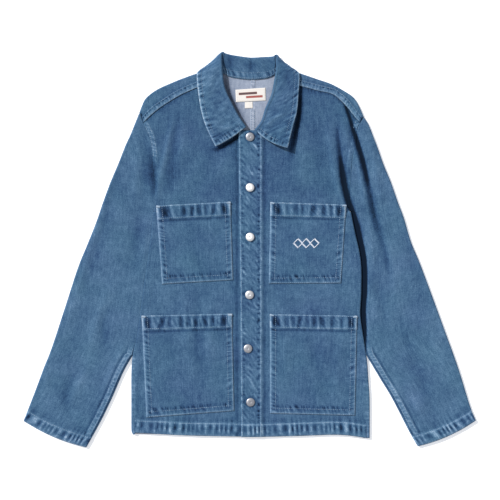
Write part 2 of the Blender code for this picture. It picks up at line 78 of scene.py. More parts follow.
# ---- outlines of the laid garment: (across, up) in mm; -1 is the wearer's right ----
SHOULDER_FOLD = {
    -1: [(-61, 352), (-77, 347), (-100, 340), (-131, 329), (-160, 317), (-177, 309),
         (-192, 299), (-202, 289), (-208, 276), (-213, 263)],
    1: [(60, 352), (73, 347), (95, 340), (130, 328), (156, 319), (182, 305), (199, 293),
        (210, 276), (219, 255)],
}
SHOULDER_SEAM = {
    -1: [(-59, 325), (-77, 319), (-103, 311), (-136, 296), (-171, 274), (-190, 259), (-206, 243)],
    1: [(58, 325), (73, 320), (96, 315), (130, 306), (156, 300), (170, 291), (185, 276),
        (199, 258), (211, 244)],
}
# from the underarm up to the shoulder seam
ARMHOLE = {
    -1: [(-186, 73), (-183, 111), (-187, 154), (-188, 188), (-192, 212), (-198, 227), (-206, 243)],
    1: [(194, 73), (192, 106), (194, 146), (197, 180), (204, 207), (205, 230), (211, 244)],
}
# the body's side fold, from the hem up to the underarm
SIDE_FOLD = {
    -1: [(-223.5, -355.5), (-226.8, -351), (-228, -341), (-228, -288), (-228, -240),
         (-226, -204), (-220, -177), (-213, -131), (-206, -77), (-198, -23), (-191, 29),
         (-186, 73)],
    1: [(230, -361), (230, -288), (228, -254), (225, -213), (218, -167), (212, -123),
        (214, -79), (213, -20), (201, 38), (194, 73)],
}
HEM_LEVEL = -359            # at the centre front; the back ends 2 mm above it
HEM = {-1: [(-125, -356)], 1: [(96, -357), (172, -355)]}       # between centre and side fold
UNDER_LAP = 17              # the right front runs on past the middle, below the lap
# back neck: its height at the centre-back seam, and from there out to the shoulder fold
BACK_NECK = {
    0: 329,
    -1: [(-19, 331), (-40, 337), (-52, 343), (-60, 349)],
    1: [(27, 332), (42, 337), (52, 343), (59, 349)],
}
# front neck, from the centre front up to the shoulder seam
FRONT_NECK = {
    -1: [(17, 226), (-10, 229), (-25, 252), (-37, 275), (-51, 305), (-59, 325)],
    1: [(22, 230), (30, 248), (36, 271), (47, 299), (58, 325)],
}
LAP_EDGE = [(-17, -358), (-19, -60), (-21, 100), (-22, 226)]   # the left front's free edge
SLEEVE_HEAD = {        # outer fold, from the shoulder seam down to the underarm
    -1: [(-213, 263), (-219, 248), (-229, 223), (-240, 199), (-253, 166), (-269, 128), (-283, 90)],
    1: [(219, 255), (228, 241), (236, 221), (246, 195), (257, 164), (271, 130), (285, 90)],
}
SLEEVE_OUTER = {       # outer fold, from the underarm's height down to the cuff
    -1: [(-283, 90), (-296, 52), (-314, 7), (-331, -35), (-355, -109), (-381, -188), (-396, -226),
         (-412, -269), (-435, -328)],
    1: [(285, 90), (296, 61), (309, 17), (324, -19), (340, -61), (373, -151), (400, -226),
        (423, -300), (434, -327)],
}
SLEEVE_FREE = {        # inner fold, from the fork with the body's side down to the cuff
    -1: [(-228, -208), (-243, -234), (-263, -280), (-285, -326), (-314, -379)],
    1: [(228, -208), (250, -247), (273, -285), (306, -349), (322, -377)],
}
# a low shelf of the left sleeve lies along the body and makes the valley there, darkened with
# painted shade
# columns: up, width of the shelf
SHELF = {-1: [(73, 0), (-379, 0)],
         1: [(73, 6), (60, 9), (40, 11), (-10, 12), (-79, 12.5), (-125, 12), (-150, 10),
             (-172, 6), (-200, 2), (-225, 0), (-380, 0)]}
SHELF_HEIGHT = 2.4
SHELF_FULL = 8              # a shelf this wide lies at its full depth
SHELF_LIP = 2               # the cloth starts to climb this much inside the shelf's width
SHELF_CLIMB = 5.0           # and reaches the sleeve's top in this much
CUFF_BOW = 6                # the cuff's edge bows down by this much in its middle
FORK = -204                 # height where the sleeve leaves the body's side
SLEEVE_OVERLAP = {-1: 0.8, 1: 0.3}      # how far a sleeve's edge lies on the body's side
UNDER_BACK = 2.2            # and how far its first row goes under the shoulder seam

# ---- soft folds ----
# columns: path, half width, height (minus is a valley), tint (minus is darker, painted shade in a
# valley; plus is paler on a ridge, worn and painted light), skew
FRONT_FOLDS = {
    -1: [([(-146, 262), (-152, 232), (-163, 185), (-174, 140), (-180, 92)], 6.5, 1.7, 0.13, 0.3),
         ([(-140, 252), (-146, 205), (-152, 150), (-154, 110)], 9, -1.2, -0.11, 0.0),
         ([(-126, 262), (-130, 215), (-133, 165)], 8, 0.8, 0.06, 0.0),
         ([(-100, -70), (-98, -110), (-101, -170), (-92, -270)], 10, -0.9, -0.08, 0.0),
         ([(-128, -78), (-126, -120), (-118, -190)], 8, 0.6, 0.05, 0.0),
         ([(-73, -96), (-78, -160), (-72, -250)], 9, 0.7, 0.05, 0.0),
         ([(-112, 20), (-98, -20), (-74, -50)], 9, -0.7, -0.06, 0.0),
         ([(-60, 40), (-66, 0), (-58, -40)], 8, -0.5, -0.04, 0.0),
         ([(-196, -30), (-202, -90), (-210, -160)], 9, 0.7, 0.04, 0.0),
         ([(-206, -210), (-214, -270), (-216, -320)], 5, -0.6, -0.06, 0.0),
         ([(-40, 190), (-60, 150), (-90, 110)], 12, 0.5, 0.03, 0.0),
         # painted shadow that the collar's leaf casts on this front, below its edge
         ([(-72, 192), (-62, 194), (-48, 201), (-33, 210), (-12, 227), (-4, 234)],
          4.5, 0, -0.5, 0.0)],
    1: [([(150, 236), (156, 190), (163, 150), (172, 108), (183, 70)], 8, 2.0, 0.05, 0.3),
        ([(176, 262), (184, 224), (189, 186), (190, 150)], 6, 1.2, 0.06, 0.0),
        ([(120, 250), (130, 200), (136, 140)], 14, -0.6, -0.05, 0.0),
        ([(88, 262), (96, 190), (100, 120)], 14, 0.6, 0.03, 0.0),
        ([(70, -130), (66, -190), (74, -260)], 9, 0.6, 0.05, 0.0),
        ([(110, -150), (128, -220), (150, -290)], 11, -0.7, -0.05, 0.0),
        ([(180, -150), (168, -220), (172, -300)], 10, 0.6, 0.04, 0.0),
        ([(60, 30), (110, 10), (160, 20)], 10, -0.4, -0.03, 0.0),
        ([(60, -85), (120, -92), (190, -80)], 8, 0.5, 0.03, 0.0),
        ([(214, -130), (219, -180), (221, -250)], 5, 0.9, 0.06, 0.0),
        # painted shadow that the collar's leaf casts on this front, below its edge
        ([(98, 326), (97, 300), (95, 265), (89, 232), (80, 194), (76, 178)], 5, 0, -0.55, 0.0)],
}
SLEEVE_FOLDS = {
    -1: [([(-214, 215), (-216, 160), (-220, 100)], 10, 0.8, 0.05, 0.0),
         ([(-207, 176), (-203, 130), (-203, 84)], 13, -1.0, -0.09, 0.0),
         ([(-208, 92), (-213, 50), (-222, -6), (-232, -50)], 15, -1.0, -0.08, 0.0),
         ([(-196, 66), (-203, 10), (-212, -60)], 7, 0.5, 0.03, 0.0),
         ([(-250, 150), (-268, 90), (-290, 20), (-318, -70)], 10, -0.9, -0.08, 0.0),
         ([(-272, 106), (-296, 30), (-330, -70), (-368, -190)], 9, 1.0, 0.06, 0.3),
         ([(-262, -60), (-290, -130), (-316, -210)], 11, 1.0, 0.06, 0.0),
         ([(-276, -105), (-282, -150), (-276, -190)], 9, -1.1, -0.10, 0.0),
         ([(-340, -230), (-352, -280), (-346, -320)], 10, -1.1, -0.12, 0.0),
         ([(-300, -200), (-330, -262), (-352, -310)], 8, 0.7, 0.04, 0.0),
         ([(-385, -230), (-398, -280)], 8, 0.7, 0.05, 0.0),
         ([(-236, -170), (-262, -226), (-290, -290)], 6, 0.9, 0.07, 0.0)],
    1: [([(200, 210), (204, 186), (210, 156), (216, 124), (222, 84)], 6, 2.0, 0.05, 0.2),
        ([(214, 244), (224, 214), (237, 176), (246, 132), (254, 84)], 8, 1.6, 0.03, 0.0),
        ([(228, 128), (234, 90), (243, 50), (254, 14), (264, -24), (270, -60)],
         7, -1.5, -0.2, 0.0),
        ([(226, 60), (232, 10), (240, -50)], 7, 1.0, 0.04, 0.0),
        ([(259, 40), (270, -20), (280, -90), (292, -150)], 10, 0.8, 0.04, 0.0),
        ([(243, -40), (252, -100), (262, -150)], 8, -0.9, -0.08, 0.0),
        ([(292, 50), (312, -20), (336, -90)], 9, -0.7, -0.06, 0.0),
        ([(276, -110), (300, -170), (330, -240)], 11, -0.8, -0.07, 0.0),
        ([(330, -110), (352, -170), (380, -230)], 10, 0.8, 0.05, 0.0),
        ([(320, -230), (346, -290), (358, -330)], 9, -0.8, -0.07, 0.0),
        ([(300, -255), (322, -300), (336, -340)], 8, 0.8, 0.05, 0.0),
        ([(258, -225), (280, -265), (306, -315)], 6, 0.9, 0.09, 0.0)],
}
# folds that run over an armhole seam, from the front on to the sleeve; their valleys carry painted
# shade, very dark on the wearer's left
SHARED_FOLDS = {
    -1: [([(-191, 190), (-188, 160), (-185, 130), (-184, 100)], 6.5, -2.0, -0.25, 0.0),
         ([(-205, 236), (-202, 205), (-196, 172), (-194, 140)], 9, -0.9, -0.10, 0.0)],
    1: [([(180, 286), (185, 272), (194, 246), (203, 219), (210, 196)], 3.2, -3.0, -0.62, 0.0),
        ([(196, 238), (203, 218), (211, 194), (219, 166), (225, 140), (229, 118)],
         5.2, -4.0, -0.76, -0.35),
        ([(221, 156), (226, 130), (231, 104), (238, 70), (247, 34)], 5.0, -1.6, -0.24, -0.2),
        ([(167, 240), (171, 202), (176, 163), (180, 132), (184, 112)], 4.2, -2.4, -0.36, -0.3),
        ([(174, 176), (179, 139), (186, 104), (195, 77), (204, 51), (211, 28), (213, 4)],
         5.6, -4.2, -0.88, 0.0)],
}

# ---- patch pockets ----
# columns: side, top inner, top outer, bottom outer, bottom inner
POCKETS = {
    "pocket_chest_right": (-1, (-37, 93), (-180, 85), (-169, -66), (-32, -58)),
    "pocket_chest_left": (1, (39, 92), (185, 87), (175, -64), (36, -65)),
    "pocket_lower_right": (-1, (-34, -122), (-208, -126), (-199, -322), (-30, -309)),
    "pocket_lower_left": (1, (38, -123), (206, -126), (202, -318), (38, -314)),
}
# puckers of each mouth band; columns: x in mm, half width, depth, lean
BAND_PUCKERS = {
    "pocket_chest_right": [(-163, 7, 1.4, 3), (-127, 3.5, 0.9, 1), (-111, 3, 1.0, -1),
                           (-98, 3.5, 1.1, 1), (-84, 2.5, 0.7, 0), (-70, 3, 0.9, -2),
                           (-50, 5, 1.4, 1)],
    "pocket_chest_left": [(52, 6, 1.4, 2), (72, 2.5, 0.6, 0), (89, 4, 0.8, 1), (101, 3, 0.7, 0),
                          (121, 4, 1.0, -2), (142, 3.5, 1.0, 0), (157, 2.5, 0.6, 1),
                          (172, 5, 1.3, 0)],
    "pocket_lower_right": [(-196, 4.5, 1.3, 2), (-169, 4, 1.0, -4), (-155, 2.5, 0.6, 0),
                           (-132, 3.5, 0.9, 1), (-118, 3, 0.8, 0), (-104, 3, 1.0, 0),
                           (-86, 3.5, 1.0, 2), (-72, 3, 0.9, 0), (-50, 4.5, 1.3, 0)],
    "pocket_lower_left": [(49, 6, 1.4, 4), (70, 3, 0.7, 0), (83, 3, 0.7, 2), (95, 3, 0.9, -2),
                          (110, 2.5, 0.6, 0), (124, 3.5, 0.9, 0), (138, 4, 1.0, 2),
                          (158, 3, 0.8, 0), (176, 2.5, 0.6, 0), (194, 4.5, 1.2, 0)],
}
# columns: x, y, how far it leans towards the light in degrees, how bright it is painted, a painted
# shine and shade of its own
BUTTONS = [(0, 217, 0, 0.13), (0, 120, 9, 0.5), (0, 25, 9, 0.5), (-1, -86, 4, 0.3),
           (-4, -189, 1, 0.16), (1, -292, 0, 0.1)]
# creases of the lap below some buttons, worn pale; columns as for the soft folds
LAP_CREASES = [([(2, 208), (9, 200), (16, 190)], 1.7, 0.5, 0.24, 0.0),
               ([(0, 185), (3, 179), (7, 174)], 1.6, 0.3, 0.16, 0.0),
               ([(-9, 165), (-3, 156), (6, 144)], 1.7, 0.4, 0.18, 0.0),
               ([(-8, 106), (-4, 98), (-1, 90)], 1.7, 0.3, 0.15, 0.0),
               ([(8, 114), (14, 109), (20, 102)], 1.8, 0.4, 0.18, 0.0),
               ([(5, 12), (11, 5), (17, -4)], 1.8, 0.4, 0.16, 0.0),
               ([(-14, -40), (-6, -52), (2, -62)], 1.8, 0.3, 0.13, 0.0),
               ([(4, -98), (10, -106), (17, -117)], 1.8, 0.4, 0.17, 0.0),
               ([(-6, -240), (2, -250), (8, -262)], 1.8, 0.3, 0.13, 0.0)]
# shade beside the right leaf's roll, where the back's inside lies deep below it
NECK_SHADE = [([(-2, 232), (-15, 252), (-28, 275), (-42, 305), (-49, 336)], 6.5, 0, -0.42, 0.0),
              ([(-46, 300), (-50, 322), (-50, 345)], 9, 0, -0.15, 0.0)]

# ---- collar: a row for each section, from the right front end round the back ----
# columns: base x, y, z; roll's middle x, y, z; the way the roll faces, in degrees from +x;
# its lean up, in degrees; middle of the leaf x, y, z; edge of the leaf x, y, z; in mm
COLLAR = [
    (-15, 232, 7.4, -9.5, 234.3, 10.8, 32, 45, -37, 214, 13.8, -66, 198, 14.6),
    (-27, 252, 7.4, -23.4, 254.4, 10.8, 30, 45, -52, 243, 13.6, -83, 233, 14.0),
    (-39, 275, 7.4, -35.3, 276.3, 10.8, 26, 45, -63, 270, 13.6, -93, 264, 13.0),
    (-55, 307, 7.4, -50.2, 308.2, 11.2, 16, 45, -75, 305, 14.0, -99, 300, 12.4),
    (-61, 331, 8.4, -55.2, 338, 12.0, 4, 40, -79, 337, 14.2, -102, 334, 12.0),
    (-57, 343, 8.2, -56.2, 352, 12.0, 10, 25, -82, 349, 13.0, -97, 345, 8.0),
    (-50.5, 339, 4.4, -56.4, 363.4, 10.4, 30, 10, -77, 359, 7.6, -78, 353, 2.2),
    (-46, 336, 3.5, -53.8, 377.2, 7.4, 70, 0, -64, 370, 2.4, -64, 359, 0.4),
    (-40, 333, 3.3, -46, 374.3, 4.6, 90, 0, -50, 366, 0.5, -49, 356, 0.2),
    (-26, 330, 3.3, -27, 370.3, 3.2, 90, 0, -27, 360, 0.0, -27, 347, 0.0),
    (2, 327, 3.4, 1, 366.8, 3.2, 90, 0, 1, 356, 0.0, 2, 343, 0.0),
    (28, 329, 3.3, 27, 367.8, 3.2, 90, 0, 27, 358, 0.0, 27, 345, 0.0),
    (41, 332.5, 3.3, 44, 368.8, 4.6, 90, 0, 48, 361, 0.5, 46, 354, 0.2),
    (46.5, 336, 3.5, 51.7, 371.8, 7.4, 110, 0, 60, 364, 2.4, 60, 357, 0.4),
    (50.5, 339, 4.4, 52.3, 359.4, 10.4, 150, 10, 73, 355, 7.6, 73, 351, 2.2),
    (55, 343, 8.2, 53.2, 349.1, 12.0, 170, 25, 77, 347, 13.0, 91, 343, 8.0),
    (59, 331, 8.4, 51.2, 336, 12.0, 176, 40, 74, 335, 14.2, 95, 333, 12.0),
    (48, 300, 7.4, 44.2, 299.2, 11.2, 168, 45, 70, 301, 14.0, 93, 300, 13.2),
    (35, 271, 7.9, 32.3, 271.3, 11.4, 157, 45, 62, 268, 15.0, 90, 266, 15.6),
    (28, 247, 9.4, 24.3, 246.4, 12.6, 150, 45, 53, 240, 17.0, 82, 236, 19.0),
    (17, 232, 9.4, 11.3, 228.4, 12.6, 148, 45, 39, 207, 18.0, 72, 195, 22.0),
]
# the collar's soft folds, columns as for the soft folds: painted shade in a valley, paler on a
# ridge
COLLAR_FOLDS = [([(-76, 243), (-56, 234), (-34, 238)], 3.5, 0.8, 0.11, 0.0),
                ([(-72, 228), (-54, 222), (-34, 228)], 4, -0.8, -0.12, 0.0),
                ([(-88, 296), (-78, 322), (-70, 350)], 7, 0.7, 0.06, 0.0),
                ([(-66, 300), (-62, 274), (-46, 250)], 6, -0.5, -0.05, 0.0),
                ([(27, 231), (42, 250), (66, 261)], 3.5, 0.9, 0.12, 0.0),
                ([(36, 224), (52, 239), (80, 245)], 4, -0.8, -0.12, 0.0),
                ([(56, 208), (58, 226), (72, 238)], 3.5, 0.7, 0.09, 0.0),
                ([(86, 300), (74, 320), (64, 352)], 7, -0.6, -0.07, 0.0),
                ([(1, 372), (2, 352), (-1, 336)], 3, -0.8, -0.14, 0.0),
                ([(-38, 376), (-38, 355), (-33, 338)], 5, -0.7, -0.12, 0.0),
                ([(-22, 374), (-20, 352), (-25, 336)], 5, 0.6, 0.07, 0.0),
                ([(20, 370), (23, 352), (31, 336)], 5, 0.6, 0.06, 0.0),
                ([(-14, 336), (-12, 346), (-17, 356)], 3, 0.7, 0.13, 0.0),
                ([(11, 336), (16, 345), (11, 357)], 3, 0.6, 0.12, 0.0)]
LABEL = [(-28, 308), (30, 312), (31, 287), (-27, 284)]
SIZE_TAB = [(-10, 284.1), (5, 284.9), (5.5, 272.5), (-10, 272)]


# =============================== lines and surfaces ===============================

def smooth(points, steps):
    """A Catmull-Rom curve through the rows of `points`, `steps` places to a stretch:
    b + t/2 (c-a + t (2a-5b+4c-d + t (3b-a-3c+d)))."""
    p = np.array(points, float)
    ends = np.vstack([2 * p[0] - p[1], p, 2 * p[-1] - p[-2]])
    a, b, c, d = (ends[k:k + len(p) - 1, None] for k in range(4))
    t = (np.arange(steps) / steps)[None, :, None]
    fine = b + 0.5 * t * (c - a + t * (2 * a - 5 * b + 4 * c - d + t * (3 * b - a - 3 * c + d)))
    return np.vstack([fine.reshape(-1, p.shape[1]), p[-1]])


def lengths(line):
    """The length run along a line at each of its points."""
    return np.append(0, np.cumsum(np.linalg.norm(np.diff(line, axis=0), axis=1)))


def along(line, places):
    """Points at the fractions `places` of a line's length."""
    run = lengths(line)
    return np.stack([np.interp(np.asarray(places) * run[-1], run, c) for c in line.T], 1)


def curve(points, places):
    """Points at the fractions `places` of the length of a smooth curve through `points`."""
    return along(smooth(points, 12), places)


def spread(count):
    """Even fractions from 0 to 1."""
    return np.linspace(0, 1, count)


def fill(bottom, top, inner, outer, across):
    """A panel between its four edges (a Coons patch): the mean of the sides plus the mean of
    the ends, less the bilinear blend of the corners."""
    up = spread(len(inner))[:, None, None]
    over = np.asarray(across)[None, :, None]
    sides = (1 - over) * inner[:, None] + over * outer[:, None]
    ends = (1 - up) * bottom[None] + up * top[None]
    corners = ((1 - up) * ((1 - over) * bottom[0] + over * bottom[-1])
               + up * ((1 - over) * top[0] + over * top[-1]))
    return sides + ends - corners


def outward(line, side):
    """The flat direction that points out of the garment along an edge line."""
    step = np.gradient(line[:, :2], axis=0)
    step /= np.linalg.norm(step, axis=1)[:, None]
    return np.stack([step[:, 1], -step[:, 0]], 1) * side


def lift(plan, height):
    """Points in space from plan points and a height for each."""
    return np.concatenate([plan, np.broadcast_to(height, plan.shape[:-1])[..., None]], -1)


def ease(t):
    """0 below 0, 1 above 1, and 3t^2 - 2t^3 between."""
    t = np.clip(t, 0, 1)
    return t * t * (3 - 2 * t)


def bell(t):
    """exp(-t^2)."""
    return np.exp(-t * t)


def folds(x, y, table):
    """Height and tint of soft folds: a bell across each path, by the distance to its nearest
    stretch over the half width, which fades along it by sin^0.6; the half width is (1 + skew)
    times as much on the right of a path that runs down.  A valley's depth d becomes
    VALLEY tanh(d / VALLEY), so that it stays above the layer below."""
    height, tint = np.zeros(x.shape), np.zeros(x.shape)
    for path, half_width, tall, shade, skew in table:
        line = curve(path, spread(16))
        best = np.full(x.shape, 1e9)
        place, hand = np.zeros(x.shape), np.zeros(x.shape)
        for k, (a, b) in enumerate(zip(line, line[1:])):
            dx, dy = b - a
            t = np.clip(((x - a[0]) * dx + (y - a[1]) * dy) / (dx * dx + dy * dy), 0, 1)
            ex, ey = x - a[0] - t * dx, y - a[1] - t * dy
            gap = np.hypot(ex, ey)
            near = gap < best
            best = np.where(near, gap, best)
            place = np.where(near, (k + t) / 15, place)
            hand = np.where(near, np.sign(dx * ey - dy * ex), hand)
        fade = np.sin(np.pi * np.clip(place, 0.02, 0.98)) ** 0.6
        shape = bell(best / (half_width * (1 + skew * hand))) * fade
        height += tall * shape
        tint += shade * shape
    return np.maximum(height, -VALLEY * np.tanh(-height / VALLEY)), tint


def unevenness(x, y, seed, longest=110.0):
    """Between -1 and 1: the mean of seven sine waves with seeded directions and wavelengths."""
    draw = np.random.default_rng(seed)
    total = 0
    for size in np.geomspace(0.3, 1, 7) * longest:
        turn, phase = draw.uniform(0, np.pi), draw.uniform(0, 6.28)
        total = total + np.sin((x * math.cos(turn) + y * math.sin(turn)) * 6.283 / size + phase)
    return total / 4


def rope(s, t, period, slant, seed, wander=1.0):
    """Puckers along a seam, between -1 and 1: a sine of s/period with an uneven phase that
    leans by `slant` over t, times an uneven strength."""
    phase = (s / period + slant * t + wander * (0.42 * np.sin(s / (period * 0.83) + seed)
                                                + 0.3 * np.sin(s / (period * 2.1) + 2.3 * seed)))
    strength = 0.72 + 0.28 * np.sin(s / (period * 1.37) + 5 * seed)
    return np.sin(2 * np.pi * phase) * strength


def streaks(x, y, heading, sizes, seed):
    """Worn ridges, between about -1 and 1: a sum of sine waves of the given sizes in mm, each
    travelling within 28 degrees of `heading` with a phase that wanders, in uneven patches."""
    draw = np.random.default_rng(seed)
    total = 0
    for size in sizes:
        turn = math.radians(heading + draw.uniform(-28, 28))
        wander = 2.2 * unevenness(x, y, draw.integers(1000), 60)
        total = total + np.sin((x * math.cos(turn) + y * math.sin(turn)) * 6.283 / size + wander)
    patch = 0.75 + 0.5 * unevenness(x, y, draw.integers(1000), 50)
    return total / len(sizes) * 1.3 * patch


def grid_normals(grid):
    """Unit normals of a grid: (change down the rows) x (change along the columns)."""
    normal = np.cross(np.gradient(grid, axis=0), np.gradient(grid, axis=1))
    size = np.linalg.norm(normal, axis=-1, keepdims=True)
    return normal / np.where(size == 0, 1, size)


def inset(grid, distance):
    """The line on a surface that keeps a distance in mm from its first column."""
    runs = np.cumsum(np.linalg.norm(np.diff(grid, axis=1), axis=2), axis=1)
    runs = np.concatenate([np.zeros((len(grid), 1)), runs], 1)
    distance = np.broadcast_to(distance, len(grid))
    return np.array([[np.interp(d, run, row[:, k]) for k in range(3)]
                     for d, run, row in zip(distance, runs, grid)])


# =============================== meshes ===============================

SAME_PLACE = 0.02           # points of a piece that lie this close are one, in mm


def place_points(points):
    """Table millimetres to metres in the frame."""
    points = np.asarray(points, float) * MM
    points[..., 0] -= MIDDLE[0] * MM
    points[..., 1] -= MIDDLE[1] * MM
    return points


def grid_quads(rows, columns, flip, start=0):
    """Corner numbers of the quads of a grid; its normal is (down the rows) x (along columns)."""
    corner = (np.arange(rows - 1)[:, None] * columns + np.arange(columns - 1)).ravel() + start
    quads = np.stack([corner, corner + columns, corner + columns + 1, corner + 1], 1)
    return quads[:, ::-1] if flip else quads


def patch(bottom, top, rows, columns):
    """A flat four-cornered patch, bilinear between the ends of its bottom and top edges, with
    the share of the way across and up of each of its points."""
    up, over = spread(rows)[:, None, None], spread(columns)[None, :, None]
    (a, b), (c, d) = np.array(bottom, float), np.array(top, float)
    plan = (1 - up) * ((1 - over) * a + over * b) + up * ((1 - over) * c + over * d)
    return plan, *np.broadcast_arrays(over[..., 0], up[..., 0])


def lay(name, mesh, materials, node_name=None, wall=None):
    """Puts a mesh into the scene, shaded smooth, on the jacket's one body.  A wall in mm goes
    inwards, its inner side in the last material."""
    mesh.polygons.foreach_set("use_smooth", np.ones(len(mesh.polygons), bool))
    for surface in materials:
        mesh.materials.append(surface)
    item = bpy.data.objects.new(name, mesh)
    bpy.context.scene.collection.objects.link(item)
    if wall:
        shell = item.modifiers.new("wall", "SOLIDIFY")
        shell.thickness = wall * MM
        shell.offset = -1
        shell.material_offset = len(materials) - 1
    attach(item, "root")
    if node_name:
        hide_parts(node_name)
    return item


def piece(name, grids, flip, materials, wall=None, ending="_cloth", in_cad=True):
    """A surface made of grids of (points, tint, weave place), joined where they meet.  It takes
    the place of the node of the same name, where there is one."""
    points, tints, weaves, quads, start = [], [], [], [], 0
    for grid, tint, weave in grids:
        rows, columns = grid.shape[:2]
        points.append(grid.reshape(-1, 3))
        tints.append(np.broadcast_to(tint, (rows, columns)).ravel())
        weaves.append(np.asarray(weave).reshape(-1, 2))
        quads.append(grid_quads(rows, columns, flip, start))
        start += rows * columns
    mesh = bpy.data.meshes.new(name)
    mesh.from_pydata(place_points(np.vstack(points)).tolist(), [], np.vstack(quads).tolist())
    # the tint of each point: the cloth's worn and printed tone, and painted shade and light
    tone_and_painted_light = mesh.attributes.new("tone_and_painted_light", "FLOAT", "POINT")
    tone_and_painted_light.data.foreach_set("value", np.concatenate(tints))
    corners = np.empty(len(mesh.loops), np.int32)
    mesh.loops.foreach_get("vertex_index", corners)
    places = np.vstack(weaves)[corners] * MM
    mesh.uv_layers.new(name="weave").data.foreach_set("uv", places.ravel())
    joined = bmesh.new()
    joined.from_mesh(mesh)
    bmesh.ops.remove_doubles(joined, verts=joined.verts, dist=SAME_PLACE * MM)
    bmesh.ops.dissolve_degenerate(joined, edges=joined.edges, dist=SAME_PLACE / 2 * MM)
    joined.to_mesh(mesh)
    joined.free()
    return lay(name + ending, mesh, materials, name if in_cad else None, wall)


STITCH_GAP = 1.0            # between two stitches of a row, in mm
# the four rings of a stitch, columns: place along it, share of its width, rise in mm
STITCH_RINGS = [(-0.5, 0.45, -0.15), (-0.25, 1, 0.1), (0.25, 1, 0.1), (0.5, 0.45, -0.15)]
STITCH_FLATNESS = 0.9       # its thickness over its width
UNEVEN = 0.12               # how far stitches stray along and across their row, in mm
stitch_lines = []           # (points, normals, a stitch's length, its width, straying)


def stitch(line, up=(0, 0, 1), rise=0.0, long=2.9, wide=0.85, stray=UNEVEN):
    """Notes a row of stitches along a line on a surface, `rise` mm above it."""
    line = np.asarray(line, float) + [0, 0, rise]
    stitch_lines.append((line, np.broadcast_to(up, line.shape), long, wide, stray))


def sew(name, surface):
    """One mesh of every noted stitch: each is a low spindle, four rings of four corners along
    its line, its ends dipping into the cloth."""
    draw = np.random.default_rng(7)
    stitches = []
    for line, normal, long, wide, stray in stitch_lines:
        run = lengths(line)
        count = max(1, int(run[-1] // (long + STITCH_GAP)))
        at = (np.arange(count) + 0.5) * run[-1] / count + draw.normal(0, UNEVEN, count)
        start, end, middle, up = (
            np.stack([np.interp(place, run, c) for c in values.T], 1) for place, values in
            ((at - long / 2, line), (at + long / 2, line), (at, line), (at, normal)))
        way = end - start
        way /= np.linalg.norm(way, axis=1)[:, None]
        up = up - way * (up * way).sum(1)[:, None]
        up /= np.linalg.norm(up, axis=1)[:, None]
        across = np.cross(way, up)
        middle = middle + across * draw.normal(0, stray, count)[:, None]
        size = np.broadcast_to([long, wide], (count, 2))
        stitches.append(np.hstack([middle, way, up, across, size]))
    middle, way, up, across, long, wide = np.split(np.vstack(stitches), [3, 6, 9, 12, 13], 1)
    points = np.stack([middle + way * long * place + up * rise
                       + across * wide * 0.5 * share * math.cos(turn)
                       + up * wide * 0.5 * share * math.sin(turn) * STITCH_FLATNESS
                       for place, share, rise in STITCH_RINGS
                       for turn in np.radians([0, 90, 180, 270])], 1)
    corner = np.arange(12)
    beside = corner // 4 * 4 + (corner + 1) % 4
    quads = np.vstack([np.stack([corner, beside, beside + 4, corner + 4], 1),
                       [[3, 2, 1, 0], [12, 13, 14, 15]]])
    faces = (quads[:, None] + 16 * np.arange(len(points))[:, None]).reshape(-1, 4)
    mesh = bpy.data.meshes.new(name)
    mesh.from_pydata(place_points(points.reshape(-1, 3)).tolist(), [], faces.tolist())
    stitch_lines.clear()
    return lay(name, mesh, [surface])


# =============================== materials ===============================

def hexcolor(code):
    """A linear colour from six hex digits of sRGB."""
    channels = [int(code[i:i + 2], 16) / 255 for i in (0, 2, 4)]
    return (*(c / 12.92 if c <= 0.04045 else ((c + 0.055) / 1.055) ** 2.4 for c in channels), 1)


def node(tree, kind, links=(), stops=(), **settings):
    """Adds a node with its settings.  Links are (input, a socket or a value); stops are a
    Color Ramp's (place, six hex digits of sRGB)."""
    made = tree.nodes.new(kind)
    for key, value in settings.items():
        setattr(made, key, value)
    for place, source in links:
        if isinstance(source, bpy.types.NodeSocket):
            tree.links.new(source, made.inputs[place])
        else:
            made.inputs[place].default_value = source
    for number, (place, code) in enumerate(stops):
        cells = made.color_ramp.elements
        cell = cells[number] if number < len(cells) else cells.new(place)
        cell.position, cell.color = place, hexcolor(code)
    return made


def started(name, **shader):
    """A material with its Principled shader's sockets set; returns it, its tree and shader."""
    made = bpy.data.materials.new(name)
    made.use_nodes = True
    tree = made.node_tree
    principled = tree.nodes["Principled BSDF"]
    for socket, value in shader.items():
        principled.inputs[socket.replace("_", " ")].default_value = value
    return made, tree, principled


def wave_scale(period):
    """The Wave Texture scale whose bands are `period` mm apart."""
    return 2 * math.pi / (20 * period * MM)


# the spots of washed denim, each a noise; columns: scale, stretch, detail, roughness
DENIM_SPOTS = {
    "slubs": (430, (1, 0.07, 1), 2, 0.55),         # warp yarns, 2.3 mm wide and 33 mm long
    "weft": (380, (0.12, 1, 1), 2, 0.55),
    "grain": (460, (1, 1, 1), 3, 0.7),             # 2.2 mm
    "mottling": (150, (1, 0.6, 1), 2, 0.55),       # 7 mm
    "clouds": (22, (1, 1, 1), 3, 0.55),            # 45 mm, from the wash
    "drift": (12, (1, 1, 1), 1, 0.55),             # a hand's width, in the hue alone
}


